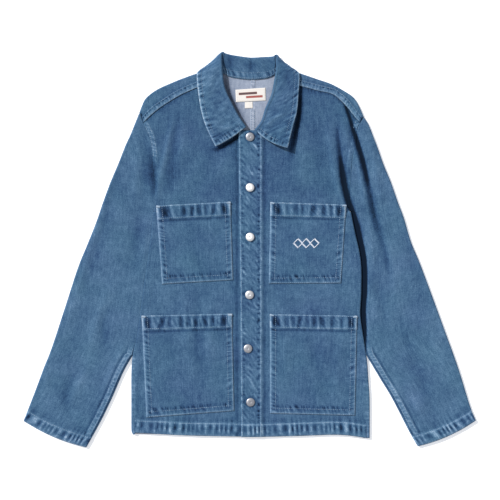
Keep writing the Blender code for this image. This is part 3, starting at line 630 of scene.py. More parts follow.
def denim(name, stops, shift=0.0, grain=0.5):
    """3/1 right-hand twill denim of slub yarn, indigo-dyed warp over a bare weft, stone washed.
    It gives the eye a mottled blue with fine upright streaks and pale flecks, pale where it
    stood up in the wash, and dark with painted shade where the cloth is folded in, in the gap
    by the left sleeve and under the collar.  Yarns are 0.7 mm apart; the twill is drawn 1.9 mm
    apart and the grain 2.2 mm so that they show at arm's length."""
    made, tree, shader = started(name, Roughness=0.92, Specular_IOR_Level=0.12,
                                 Sheen_Weight=0.05, Sheen_Roughness=0.5)
    weave = node(tree, "ShaderNodeUVMap", uv_map="weave").outputs[0]
    tone_and_painted_light = node(tree, "ShaderNodeAttribute", attribute_name="tone_and_painted_light").outputs["Fac"]
    spots = {}
    for use, (scale, stretch, detail, rough) in DENIM_SPOTS.items():
        place = node(tree, "ShaderNodeMapping", [(0, weave), ("Scale", stretch)]).outputs[0]
        spots[use] = node(tree, "ShaderNodeTexNoise",
                          [("Vector", place), ("Scale", scale), ("Detail", detail),
                           ("Roughness", rough)], noise_dimensions="2D").outputs["Fac"]
    # the value is each point's tint (worn and printed tone, with painted shade and light) and each
    # kind of spot by its share, about the ramp's middle
    shares = {"slubs": 0.17, "weft": 0.10, "grain": grain, "mottling": 0.22, "clouds": 0.22}
    middle = 0.5 + shift - 0.5 * sum(shares.values())
    value = node(tree, "ShaderNodeMath", [(0, tone_and_painted_light), (1, middle)]).outputs[0]
    for use, share in shares.items():
        value = node(tree, "ShaderNodeMath", [(0, spots[use]), (1, share), (2, value)],
                     operation="MULTIPLY_ADD").outputs[0]
    blue = node(tree, "ShaderNodeValToRGB", [(0, value)], stops).outputs["Color"]
    # the blue drifts a little towards green and back
    hue = node(tree, "ShaderNodeMath", [(0, spots["drift"]), (1, -0.02), (2, 0.511)],
               operation="MULTIPLY_ADD").outputs[0]
    tinted = node(tree, "ShaderNodeHueSaturation",
                  [("Color", blue), ("Hue", hue), ("Saturation", 0.945),
                   ("Value", 0.97)]).outputs[0]
    tree.links.new(tinted, shader.inputs["Base Color"])
    turned = node(tree, "ShaderNodeMapping",
                  [(0, weave), ("Rotation", (0, 0, math.radians(-28)))]).outputs[0]
    twill = node(tree, "ShaderNodeTexWave", [("Vector", turned), ("Scale", wave_scale(1.9)),
                                             ("Distortion", 1.2), ("Detail", 1.0)]).outputs["Fac"]
    high = node(tree, "ShaderNodeMath", [(0, twill), (1, 0.5), (2, spots["grain"])],
                operation="MULTIPLY_ADD").outputs[0]
    bump = node(tree, "ShaderNodeBump", [("Strength", 0.45), ("Distance", 0.5 * MM),
                                         ("Height", high)]).outputs[0]
    tree.links.new(bump, shader.inputs["Normal"])
    return made


BLUE_STOPS = [(0.0, "04182C"), (0.2, "143252"), (0.38, "2B5076"), (0.5, "3E6485"),
              (0.64, "54799A"), (0.82, "7F9FBC"), (1.0, "B1C6DA")]
REVERSE_STOPS = [(0.0, "3B4A63"), (0.3, "7F8CA3"), (0.5, "9EA9BC"), (0.75, "B7C0D0"),
                 (1.0, "D0D6E0")]


def thread(name, stops):
    """Twisted core-spun sewing thread, washed with the jacket: pale blue with a soft shine."""
    made, tree, shader = started(name, Roughness=0.6, Sheen_Weight=0.2)
    place = node(tree, "ShaderNodeTexCoord").outputs["Object"]
    fuzz = node(tree, "ShaderNodeTexNoise",
                [("Vector", place), ("Scale", 140.0), ("Detail", 2.0)]).outputs["Fac"]
    shade = node(tree, "ShaderNodeValToRGB", [(0, fuzz)], stops).outputs["Color"]
    tree.links.new(shade, shader.inputs["Base Color"])
    twist = node(tree, "ShaderNodeTexWave", [("Vector", place), ("Scale", wave_scale(0.9))],
                 bands_direction="DIAGONAL").outputs["Fac"]
    bump = node(tree, "ShaderNodeBump", [("Strength", 0.5), ("Distance", 0.2 * MM),
                                         ("Height", twist)]).outputs[0]
    tree.links.new(bump, shader.inputs["Normal"])
    return made


def white_thread():
    """Bleached rayon embroidery thread in satin stitch: white with a silky shine."""
    made, tree, shader = started("embroidery_thread", Roughness=0.4, Sheen_Weight=0.3)
    place = node(tree, "ShaderNodeTexCoord").outputs["Object"]
    fuzz = node(tree, "ShaderNodeTexNoise",
                [("Vector", place), ("Scale", 300.0), ("Detail", 2.0)]).outputs["Fac"]
    shade = node(tree, "ShaderNodeValToRGB", [(0, fuzz)],
                 [(0.3, "C9D3E4"), (0.7, "F4F6FA")]).outputs["Color"]
    tree.links.new(shade, shader.inputs["Base Color"])
    return made


def button_metal():
    """Tack buttons pressed from nickel-plated brass, tumbled to a soft satin: bright silver
    with fine scuffs."""
    made, tree, shader = started("tumbled_nickel", Metallic=0.8, Roughness=0.4)
    place = node(tree, "ShaderNodeTexCoord").outputs["Object"]
    scuffs = node(tree, "ShaderNodeTexNoise",
                  [("Vector", place), ("Scale", 900.0), ("Detail", 4.0)]).outputs["Fac"]
    # painted shine and shade: each button's own brightness, carried in its tint
    painted_shine = node(tree, "ShaderNodeAttribute", attribute_name="tone_and_painted_light").outputs["Fac"]
    shine = node(tree, "ShaderNodeMath", [(0, scuffs), (1, 0.3), (2, painted_shine)],
                 operation="MULTIPLY_ADD").outputs[0]
    shade = node(tree, "ShaderNodeValToRGB", [(0, shine)],
                 [(0.1, "92939B"), (0.3, "B4B5BB"), (0.6, "EDECEC")]).outputs["Color"]
    tree.links.new(shade, shader.inputs["Base Color"])
    rough = node(tree, "ShaderNodeMath", [(0, scuffs), (1, 0.25), (2, 0.32)],
                 operation="MULTIPLY_ADD").outputs[0]
    tree.links.new(rough, shader.inputs["Roughness"])
    bump = node(tree, "ShaderNodeBump", [("Strength", 0.25), ("Distance", 0.1 * MM),
                                         ("Height", scuffs)]).outputs[0]
    tree.links.new(bump, shader.inputs["Normal"])
    return made


def label_weave():
    """Damask-woven polyester label: cream, with fine cross ribs and a little gloss."""
    made, tree, shader = started("damask_label", Roughness=0.6, Sheen_Weight=0.2)
    weave = node(tree, "ShaderNodeUVMap", uv_map="weave").outputs[0]
    tone_and_painted_light = node(tree, "ShaderNodeAttribute", attribute_name="tone_and_painted_light").outputs["Fac"]
    shade = node(tree, "ShaderNodeValToRGB", [(0, tone_and_painted_light)],
                 [(0.0, "4B4648"), (0.2, "A8554F"), (0.42, "E3DAD0"),
                  (0.6, "F1EBE4")]).outputs["Color"]
    tree.links.new(shade, shader.inputs["Base Color"])
    ribs = node(tree, "ShaderNodeTexWave", [("Vector", weave), ("Scale", wave_scale(0.8))],
                bands_direction="Y").outputs["Fac"]
    bump = node(tree, "ShaderNodeBump", [("Strength", 0.3), ("Distance", 0.2 * MM),
                                         ("Height", ribs)]).outputs[0]
    tree.links.new(bump, shader.inputs["Normal"])
    return made


DENIM = denim("washed_indigo_denim", BLUE_STOPS)
POCKET_DENIM = denim("washed_indigo_denim_pockets", BLUE_STOPS, -0.015)
REVERSE = denim("denim_reverse", REVERSE_STOPS, -0.03, 0.3)
THREAD = thread("sewing_thread", [(0.3, "567A9C"), (0.5, "7A98B6"), (0.72, "A9BFD2")])
TACK_THREAD = thread("bar_tack_thread", [(0.3, "8CA6C0"), (0.7, "B9CADA")])
WHITE_THREAD = white_thread()
METAL = button_metal()
LABEL_CLOTH = label_weave()


# =============================== body ===============================

FRONT_COLUMNS = np.append(0.9985 * spread(83), 1)      # the last column turns at the cut edge
BACK_COLUMNS = spread(62)
LOWER_ROWS, UPPER_ROWS = 165, 96
FOLD_COLUMNS = 10           # points round a folded edge
NECK_SHARE = 40             # upper rows that a front gives to its neckline
# an armhole's band fades: the height where it is lost, how far above that it is clear, and
# the height where its stitches end
BAND_FADE = {-1: (150, 40, 178), 1: (140, 70, 232)}


def edge_rows(lower, upper):
    """An edge of a panel as rows: from the hem to the underarm, then to the shoulder."""
    return np.vstack([curve(lower, spread(LOWER_ROWS))[:-1], curve(upper, spread(UPPER_ROWS))])


def centre_rows(x, hem, neck):
    """The centre edge of a panel as rows: straight up from the hem, then along its neck."""
    straight = UPPER_ROWS - NECK_SHARE
    return np.vstack([curve([(x, hem), (x, UNDERARM)], spread(LOWER_ROWS))[:-1],
                      curve([(x, UNDERARM), (x, neck[0][1])], spread(straight + 1))[:-1],
                      curve(neck, spread(NECK_SHARE))])


def front_relief(side, x, y):
    """How far a front stands above its two layers away from its seams, and its tint: its own
    folds, those it shares with the sleeve, and a slow unevenness."""
    dz, tint = folds(x, y, FRONT_FOLDS[side] + SHARED_FOLDS[side])
    return dz + 0.30 * unevenness(x, y, 3 + side), tint


def front_surface(side):
    """One front: a Coons patch between hem, placket and neck, side seam and armhole, and
    shoulder seam, at two layers' height, with its folds, roped hem and puckered seams."""
    seam = curve(SHOULDER_SEAM[side], FRONT_COLUMNS)
    seam[:, 1] -= SEAM_GAP * 1.4
    centre = LAP_LINE if side > 0 else UNDER_LAP
    inner = centre_rows(centre, HEM_LEVEL, FRONT_NECK[side])
    inner[-1] = seam[0]
    outer = edge_rows(SIDE_FOLD[side], ARMHOLE[side])
    wrap = np.where(np.arange(len(outer)) < LOWER_ROWS, SIDE_WRAP, SEAM_GAP)
    outer -= outward(outer, side) * wrap[:, None]
    outer[-1] = seam[-1]
    hem = curve([(centre, HEM_LEVEL)] + HEM[side] + [tuple(outer[0])], FRONT_COLUMNS)
    plan = fill(hem, seam, inner, outer, FRONT_COLUMNS)
    x, y = plan[..., 0], plan[..., 1]
    row = np.arange(len(plan))[:, None]
    from_side = np.linalg.norm(plan - plan[:, -1:], axis=-1)
    level = np.where(row < LOWER_ROWS - 4, ease(from_side / 9), 1)      # flat by the side seam
    relief, tint = front_relief(side, x, y)
    z = LAYERS + relief * level
    up = y - plan[:1, :, 1]                                    # above the hem's edge
    dz, more = roped_hem(x * side, up, BODY_HEM, 2 + side)
    z, tint = z + dz, tint + more
    # puckers along the armhole's felled band, and its step
    band = (row >= LOWER_ROWS) * ease((TWIN + 4.5 - from_side) / 1.5)
    pull = rope(y, from_side / 10, 8.0, 0.5, 4 + side)
    seen = ease((y - BAND_FADE[side][0]) / BAND_FADE[side][1])
    z += band * (0.25 + 0.4 * seen + 0.2 * pull * seen)
    tint += band * seen * (0.15 + 0.14 * pull)
    # the strip by the side seam is pale below the fork only
    strip = (row < LOWER_ROWS) * bell((from_side - 1) / 2.5)
    tint += strip * np.where(y < FORK, 0.05 + 0.10 * rope(y, 0, 9.0, 0, 7), -0.03)
    tint -= 0.045 * ease((y - 60) / 80)                        # darker from the chest up
    from_top = np.linalg.norm(plan - plan[-1:], axis=-1)
    # a dip along the shoulder seam, and painted shade on the front below the seam's raised band
    z -= 0.5 * bell(from_top / 4)
    tint += bell((from_top - 2) / 4) * (-0.12 + 0.06 * rope(x, 0, 8.0, 0, 2))
    if side < 0:                                               # painted shade in a dark line beside the lap's free edge
        tint += (-0.16 * bell((x + 25) / 2.6) - 0.05 * bell((x + 30) / 7)) * (y < 232)
    else:                                                      # down from the lap, with painted shade at the foot of its step
        beside = x - LAP_LINE
        z += LAP_RISE * (1 - ease(beside / 4.5)) * (y < 228)
        tint += 0.10 * bell(beside / 2) - 0.13 * bell((beside - 6) / 2.5)
    return lift(plan, z), tint, plan


def roped_hem(s, up, deep, seed, wander=0.8):
    """A turned hem: a step of HEM_STEP up to its stitch line, a groove at the stitches, and
    slanted puckers that are paler on their tops and darker between."""
    inside = ease((deep + 1 - up) / 2)
    edge = ease(up / 3)
    pull = rope(s, up / deep, HEM_PUCKER, 0.2, seed, wander)
    patch = unevenness(s, up * 2, seed + 9, 38)
    fine = rope(s, up / deep, HEM_PUCKER * 0.46, -0.3, seed + 3)
    spine = bell((up - deep * 0.5) / (deep * 0.42))
    pits = np.maximum(0, 0.1 + 0.3 * fine - pull) ** 0.8 * bell((up - deep * 0.6) / (deep * 0.34))
    groove = bell((up - deep) / 1.6)
    z = inside * (HEM_STEP * edge + (0.42 * pull + 0.18 * fine) * spine) - 0.45 * groove
    above = bell((up - deep - 5) / 6) * (up > deep)
    z = z + 0.22 * pull * above
    tint = inside * (0.05 - 0.41 * pits + (0.24 * np.maximum(0, pull) + 0.08 * fine) * spine)
    tint = tint * (1 + 0.45 * patch) + inside * 0.06 * patch
    tint = tint + inside * 0.18 * bell(up / 2.0) + 0.20 * bell((up - deep + 0.8) / 1.6)
    return z, tint + above * (0.09 * pull - 0.05)


def lap_surface(line, height):
    """The buttoned lap, from the left front's free edge to its inner stitched line: level with
    that line, with a roped hem, slanted puckers along both its edges, pale worn ridges and
    creases, and a shallow hollow pressed round each button's shank."""
    edge_x, edge_y = np.array(LAP_EDGE, float).T
    free = np.stack([np.interp(line[:, 1], edge_y, edge_x), line[:, 1]], 1)
    across = spread(25)[None, :, None]
    plan = free[:, None] * (1 - across) + line[:, None] * across
    x, y = plan[..., 0], plan[..., 1]
    up = y - plan[:1, :, 1]
    from_edge, from_line = x - free[:, :1], LAP_LINE - x
    above_hem = ease((up - 20) / 20)
    dz, tint = roped_hem(x, up, BODY_HEM, 5)
    pull = rope(y, from_line / 16, 10.0, 0.5, 1)
    near = bell((from_line - 6) / 4) * above_hem
    other = rope(y, from_edge / 12, 8.0, -0.4, 3)
    close = bell((from_edge - 6) / 2.6) * above_hem
    worn = streaks(x, y, 38, (6.5, 8.5, 11, 15), 61) * above_hem
    crease, pale = folds(x, y, LAP_CREASES)
    z = height[:, None] + dz * ease(from_line / 3) + near * 0.4 * pull + close * 0.2 * other
    z = z + (0.30 * worn + crease) * ease(from_line / 4)
    z = z - 0.5 * bell(from_edge / 1.5) - 0.25 * bell((from_line - 0.5) / 1.5) * (dz == 0)
    z[:, -1] = height
    tint = tint * ease(from_line / 3) + 0.15 * worn + pale + 0.025
    tint = tint - 0.40 * bell((from_line - 5.5) / 3) * above_hem * np.maximum(0, 0.1 - pull)
    tint = tint - 0.26 * close * np.maximum(0, 0.1 - other)
    tint = tint + (0.15 + 0.08 * other) * bell((from_edge - 1.6) / 1.5)
    tint = tint + (0.20 + 0.08 * pull) * bell((from_line - 1) / 2.0)
    # painted shadow round each button and below it, and a shallow hollow pressed round its shank
    for button_x, button_y, *_ in BUTTONS:
        ring = np.hypot(x - button_x, y - button_y)
        tint = tint - 0.08 * bell((ring - 9.5) / 2.2) - 0.08 * bell(ring / 16)
        z = z - 0.35 * bell(ring / 11)
    return lift(plan, z), tint, plan


def front(side):
    """One front; the left one carries the lap that buttons over the right one's edge."""
    grids = [front_surface(side)]
    grid = grids[0][0]
    if side > 0:
        line = grid[:LOWER_ROWS + UPPER_ROWS - NECK_SHARE, 0]
        grids.append(lap_surface(line[:, :2], line[:, 2]))
    name = "front_left" if side > 0 else "front_right"
    item = piece(name, grids, side > 0, [DENIM, REVERSE], wall=CLOTH)
    # rows of stitches: the hem, the armhole's band and the lap
    stitch(inset(np.swapaxes(grid, 0, 1), BODY_HEM - 1)[2:], rise=0.1)
    for distance in (EDGE_ROW, EDGE_ROW + TWIN):
        row = inset(grid[LOWER_ROWS:, ::-1], distance)[:-2]
        stitch(row[row[:, 1] > BAND_FADE[side][2]])
    if side > 0:
        lap = grids[1][0]
        stitch(inset(lap, 2.6)[1:-1])
        stitch(inset(lap[:, ::-1], 1.2)[1:-1])
        stitch(inset(np.swapaxes(lap, 0, 1), BODY_HEM - 1), rise=0.1)


def back(side):
    """One half of the back: flat under the jacket, up round the side through half a circle,
    and over the shoulder to the forward shoulder seam."""
    middle = CENTRE_BACK + side * SEAM_GAP / 2
    fold = curve(SHOULDER_FOLD[side], BACK_COLUMNS)
    fold_out = outward(fold, -side)
    top = fold - fold_out * FOLD
    inner = centre_rows(middle, HEM_LEVEL + 2, [(middle, BACK_NECK[0])] + BACK_NECK[side])
    inner[-1] = top[0]
    outer = edge_rows(SIDE_FOLD[side], ARMHOLE[side])
    out = outward(outer, side)
    outer -= out * np.where(np.arange(len(outer)) < LOWER_ROWS, FOLD, SEAM_GAP)[:, None]
    outer[-4:] += (top[-1] - outer[-1]) * np.array([0.25, 0.5, 0.75, 1])[:, None]
    hem = curve([(middle, HEM_LEVEL + 2)] + [(x, y + 1) for x, y in HEM[side]]
                + [tuple(outer[0])], BACK_COLUMNS)
    plan = fill(hem, top, inner, outer, BACK_COLUMNS)
    flat = lift(plan, 0.0)
    neck_tint = folds(plan[..., 0], plan[..., 1], NECK_SHADE)[1]

    edge, way = plan[:LOWER_ROWS, -1], out[:LOWER_ROWS]
    turns = np.radians(np.linspace(0, 180, FOLD_COLUMNS))
    run, below_fork = edge[:, 1], edge[:, 1] < FORK
    # the side is a rounded fold, pressed almost square where a sleeve lies against it
    square = np.where(run > FORK, 0.12 if side < 0 else 0.5, 0.6)[:, None]
    roll = [lift(edge + way * FOLD * math.sin(a) ** square, FOLD * (1 - math.cos(a)))
            for a in turns[:-1]] + [lift(edge, LAYERS)]
    pull = np.where(below_fork, rope(run, 0, 9.0, 0, 6 + side), 0)
    # then on to the side seam, and tucked in below the front's edge
    to_seam = SIDE_WRAP - FOLD
    seam_side = lift(edge - way * (to_seam + 0.2), LAYERS - 0.05 + 0.05 * pull)
    mid = (roll[-1] + seam_side) / 2 + np.outer(np.abs(pull), [0, 0, 0.15])
    tucked = lift(edge - way * (to_seam + 1.6), LAYERS - 0.15)
    under = lift(edge - way * (to_seam + 6.0), LAYERS - 1.7)
    wrap = np.stack(roll + [mid, seam_side, tucked, under], 1)
    wrap[-1, FOLD_COLUMNS - 1:] += [0, 3.5, -0.9]              # closes the underarm's corner
    wrap_tint = np.zeros(wrap.shape[:2])
    wrap_tint[:, 6:] += np.where(below_fork, 0.08 + 0.08 * pull, -0.02)[:, None]
    wrap_weave = np.stack([edge[:, :1] + np.arange(wrap.shape[1]) * 2.0, wrap[..., 1]], -1)

    seam = curve(SHOULDER_SEAM[side], BACK_COLUMNS)
    seam[-1, 0] -= side * SEAM_GAP
    shoulder = plan[-1]
    span = np.linalg.norm(shoulder - seam, axis=1)
    run = lengths(seam)
    pull = rope(run, 0, 7.5, 0, 8 + side)
    dots = rope(run, 0, 5.2, 0, 17 + side, 0.4)
    # painted shade where the band ends against the sleeve's head
    cut_end = bell((run[-1] - run) / 2.2)
    over = [flat[-1]]
    for a in turns[1:]:
        over.append(lift(shoulder + fold_out * FOLD * math.sin(a), FOLD * (1 - math.cos(a))))
    tint_rows = [np.zeros(len(span))] * len(over)
    # the band: a felled seam between its two stitch rows, puckered, then plain cloth to the fold
    for far in np.append(np.linspace(1, 0.45, 6)[1:-1] * span.max(), np.linspace(12.5, 0, 12)):
        share = np.minimum(far / span, 0.97)[:, None]
        height = LAYERS + SEAM_STEP * ease((11.5 - far) / 1.5) * ease((far + 1.2) / 1.2)
        swell = bell((far - 5.5) / 4.5)
        pits = np.maximum(0, 0.2 - dots) * bell((far - 8) / 1.8)
        over.append(lift(seam * (1 - share) + shoulder * share,
                         height + (0.35 * pull - 0.2 * pits) * swell))
        tint_rows.append(0.03 + swell * (0.08 + 0.14 * pull) - 0.10 * bell((far - 13) / 2)
                         - 0.46 * pits + 0.18 * bell((far - 1) / 1.4) - 0.5 * cut_end)
    over = np.array(over)
    grids = [(flat, neck_tint, plan), (wrap, wrap_tint, wrap_weave),
             (over, np.array(tint_rows), over[..., :2])]
    name = "back_left" if side > 0 else "back_right"
    item = piece(name, grids, side < 0, [DENIM, REVERSE], wall=CLOTH)
    for distance in (EDGE_ROW, EDGE_ROW + WIDE_TWIN):
        stitch(inset(np.swapaxes(over[::-1], 0, 1), distance)[2:-1], rise=0.15)


# =============================== sleeves ===============================

# a sleeve's rows beside the armhole, beside the body and free of it; and round it the columns
# of its inner roll, of its upper side and of its underside
HEAD, BESIDE, FREE = 78, 92, 70
ROLL, TOP, UNDER = 6, 61, 21
TOP_END = ROLL + TOP + 1    # the first column round the outer fold belongs to the top
ON_TOP = 4                  # the first column of the roll that faces up


def sleeve_profile(width, open_share, shelf, rise, square):
    """A flattened ring, from the inner edge over the top, round the outer fold and back
    underneath: distances in from the inner edge, and heights.  The inner edge is a roll whose
    points are r(1-cos), r(1+sin); where the sleeve is open its two sides end apart."""
    top = LAYERS + rise
    far = width - top / 2
    low = top - (top - SHELF_HEIGHT) * min(1, shelf / SHELF_FULL)
    bend = low / 2
    turn = np.radians(np.linspace(180, 90, ROLL))
    reach = bend * (0.25 if square else 1.0)
    roll_d = reach * (1 + np.cos(turn))
    roll_z = bend * (1 + np.sin(turn) ** (0.6 if square else 1.0))
    roll_z = roll_z + (top - roll_z) * open_share
    if open_share == 1:                                        # tucked under the front
        roll_d[0], roll_z[0] = -2.0, top - 1.8
    foot = max(shelf - SHELF_LIP, reach + 0.5)
    top_d = reach + (far - reach) * spread(TOP + 1)[1:]
    top_z = low + (top - low) * ease((top_d - foot) / SHELF_CLIMB)
    top_z = top_z + (top - top_z) * open_share
    arc = np.radians(np.linspace(90, -90, FOLD_COLUMNS))[1:]
    turn = np.radians(np.linspace(-90, -180, ROLL))[1:]
    return (np.concatenate([roll_d, top_d, far + top / 2 * np.cos(arc),
                            np.linspace(far, bend, UNDER + 1)[1:], bend * (1 + np.cos(turn))]),
            np.concatenate([roll_z, top_z, top / 2 * (1 + np.sin(arc)), np.zeros(UNDER),
                            bend * (1 + np.sin(turn)) * (1 - open_share)]))


def sleeve_form(side):
    """A plain sleeve: its profile carried from the shoulder seam down to the cuff.  Also, for
    each row, the inner edge, the way left to the cuff, and the width of the low shelf."""
    head_in = curve(ARMHOLE[side], spread(HEAD))[::-1]
    head_out = curve(SLEEVE_HEAD[side], spread(HEAD))
    head_in[:5, 0] -= side * (1 - np.arange(5) / 5) ** 2       # so that its rows don't cross
    first = head_out[0] - head_in[0]
    under_back = np.array([-first[1], first[0]]) * side / np.linalg.norm(first) * UNDER_BACK
    head_in[0] += under_back
    head_out[0] += under_back
    body_edge = curve(SIDE_FOLD[side], spread(160))
    body_edge -= outward(body_edge, side) * SLEEVE_OVERLAP[side]
    body_edge = body_edge[body_edge[:, 1] > FORK][::-1]
    inner = np.vstack([along(body_edge, spread(BESIDE)),
                       curve([body_edge[-1]] + SLEEVE_FREE[side][1:], spread(FREE))[1:]])
    run = lengths(inner)
    inner = np.vstack([head_in[:-1], inner])
    outer = np.vstack([head_out[:-1], curve(SLEEVE_OUTER[side], run / run[-1])])
    total = lengths(inner)
    to_cuff = total[-1] - total
    opening = np.arange(len(inner)) < HEAD - 1
    levels, widths = np.array(SHELF[side], float)[::-1].T
    shelf = np.where(opening, 0, np.interp(inner[:, 1], levels, widths))
    beside = inner[:, 1] > FORK
    # the right sleeve lies close against the body, its edge nearly as high as its top
    close = 0.8 * ease((inner[:, 1] - FORK - 10) / 60) if side < 0 else 0
    open_share = np.where(opening, 1, close)
    rise = HEM_STEP * ease((CUFF_HEM + 1 - to_cuff) / 2)
    rows, runs = [], []
    for k, (a, b) in enumerate(zip(inner, outer)):
        width = np.linalg.norm(b - a)
        d, z = sleeve_profile(width, open_share[k], shelf[k], rise[k], side < 0 and beside[k])
        across = (b - a) / width
        down = np.array([across[1], -across[0]]) * side
        share = d / width
        bow = ease(1 - to_cuff[k] / 90) * CUFF_BOW * 4 * share * (1 - share)
        rows.append(lift(a + across * d[:, None] + down * bow[:, None], z))
        runs.append(np.stack([d * side, np.full(len(d), -total[k])], 1))
    return np.array(rows), np.array(runs), inner, to_cuff[:, None], shelf[:, None]


def sleeve(side):
    """A sleeve: a flattened tube, open beside the armhole and at the cuff, with its folds, the
    felled seam along its inner edge and a roped cuff hem."""
    grid, weave, inner, up, shelf = sleeve_form(side)
    x, y = grid[..., 0], grid[..., 1]
    row, column = np.arange(len(grid))[:, None], np.arange(grid.shape[1])
    opening = row < HEAD - 1
    over = column < TOP_END
    top = ((opening | (column >= ON_TOP)) & over).astype(float)
    dz, tint = folds(x, y, SLEEVE_FOLDS[side] + SHARED_FOLDS[side])
    dz = dz + 0.35 * unevenness(x, y, 13 + side)
    top_part = top * ease((TOP_END - column) / 5)
    past = ease((row - HEAD) / 7)                              # below the underarm
    inner_fade = np.where(opening, 1, 1 - past * (1 - ease((column - 3) / 6)))
    grid[..., 2] += dz * top_part * inner_fade
    grid[..., 2] = np.maximum(grid[..., 2], np.where(top > 0, 1.6, 0))
    tint = tint * np.maximum(top, 0.6) + 0.025
    # painted shade on the low shelf between the body and the left sleeve, darkening the valley
    # there
    d = weave[..., 0] * side
    tint = tint - 0.95 * ease((shelf + 1.0 - d) / 4) * ease(shelf / SHELF_FULL) * over
    # cuff hem, on both layers
    up = up * np.ones_like(x)
    dz, more = roped_hem(d, up, CUFF_HEM, 11 + side, 1.1)
    step = HEM_STEP * ease((CUFF_HEM + 1 - up) / 2)            # the form has it already
    grid[..., 2] += (dz - step) * top_part * ease((column - 3) / 4)
    tint = tint + more
    # felled seam just inside the inner edge, below the fork
    seam = slice(ROLL - 1, 40)
    seam_d = np.linalg.norm(grid - grid[:, ROLL - 1:ROLL], axis=-1)
    lower = ease((FORK + 20 - inner[:, 1:]) / 20) * ease((up - CUFF_HEM) / 3)
    near = (column < seam.stop) * lower
    band = ease((11.5 - seam_d) / 1.5) * (column >= seam.start) * near
    pull = rope(weave[..., 1], seam_d / 10, 7.6, 0.5, 15 + side)
    grid[..., 2] += band * (0.7 + 0.35 * pull * bell((seam_d - 6) / 4))
    tint = tint + band * (0.07 + 0.22 * np.maximum(pull, -0.4) * bell((seam_d - 6) / 3.4))
    seam_lines = (0.16 * bell((seam_d - 9.6) / 1.2) - 0.20 * bell((seam_d - 13) / 2.2)
                  + 0.12 * bell((seam_d - 2.6) / 1.2) - 0.30 * bell(seam_d / 1.4))
    tint = tint + seam_lines * (column >= ON_TOP) * near
    grid[0, :, 2] *= 0.9                                       # the first row dips under the back
    name = "sleeve_left" if side > 0 else "sleeve_right"
    item = piece(name, [(grid, tint, weave)], side < 0, [DENIM, REVERSE], wall=CLOTH)
    for distance in (EDGE_ROW, EDGE_ROW + WIDE_TWIN):
        stitch(inset(grid[HEAD + BESIDE - 6:-12, seam], distance), rise=0.1)
    cuff = np.swapaxes(grid[::-1, ON_TOP - 1:TOP_END + 2], 0, 1)
    stitch(inset(cuff, CUFF_HEM - 1), rise=0.1)


# =============================== collar ===============================

# the collar's columns: up its stand, round the roll, down the leaf
STAND, COLLAR_TURN, LEAF = 11, 9, 30
BACK_SECTIONS = slice(100, 210)             # rows of the collar round the back of the neck
END_SECTIONS = 60                           # rows at each end that carry the end's stitches
COLLAR_STITCH = 2.7


def collar_form():
    """The plain collar: straight up from the neck seam, over a roll of radius COLLAR_ROLL, and
    down its leaf on a quadratic curve through the leaf's middle."""
    rows = smooth(COLLAR, 15)
    base, middle, leaf, edge = rows[:, :3], rows[:, 3:6], rows[:, 8:11], rows[:, 11:14]
    way = np.gradient(middle, axis=0)
    way /= np.linalg.norm(way, axis=1)[:, None]
    facing, lean = np.radians(rows[:, 6]), np.radians(rows[:, 7])
    bulge = np.stack([np.cos(facing) * np.cos(lean), np.sin(facing) * np.cos(lean),
                      np.sin(lean)], 1)
    leafward = np.cross(bulge, way)
    leafward /= np.linalg.norm(leafward, axis=1)[:, None]
    start = middle - leafward * COLLAR_ROLL
    section = [base * (1 - t) + start * t for t in spread(STAND + 1)[:-1]]
    section += [middle + COLLAR_ROLL * (leafward * math.sin(turn) + bulge * math.cos(turn))
                for turn in np.radians(np.linspace(-90, 90, COLLAR_TURN))]
    finish = section[-1]
    pull = 2 * leaf - (finish + edge) / 2
    section += [finish * (1 - t) ** 2 + pull * 2 * t * (1 - t) + edge * t ** 2
                for t in spread(LEAF + 1)[1:]]
    grid = np.stack(section, 1)
    grid[..., 2] = np.maximum(grid[..., 2], 0)
    return grid


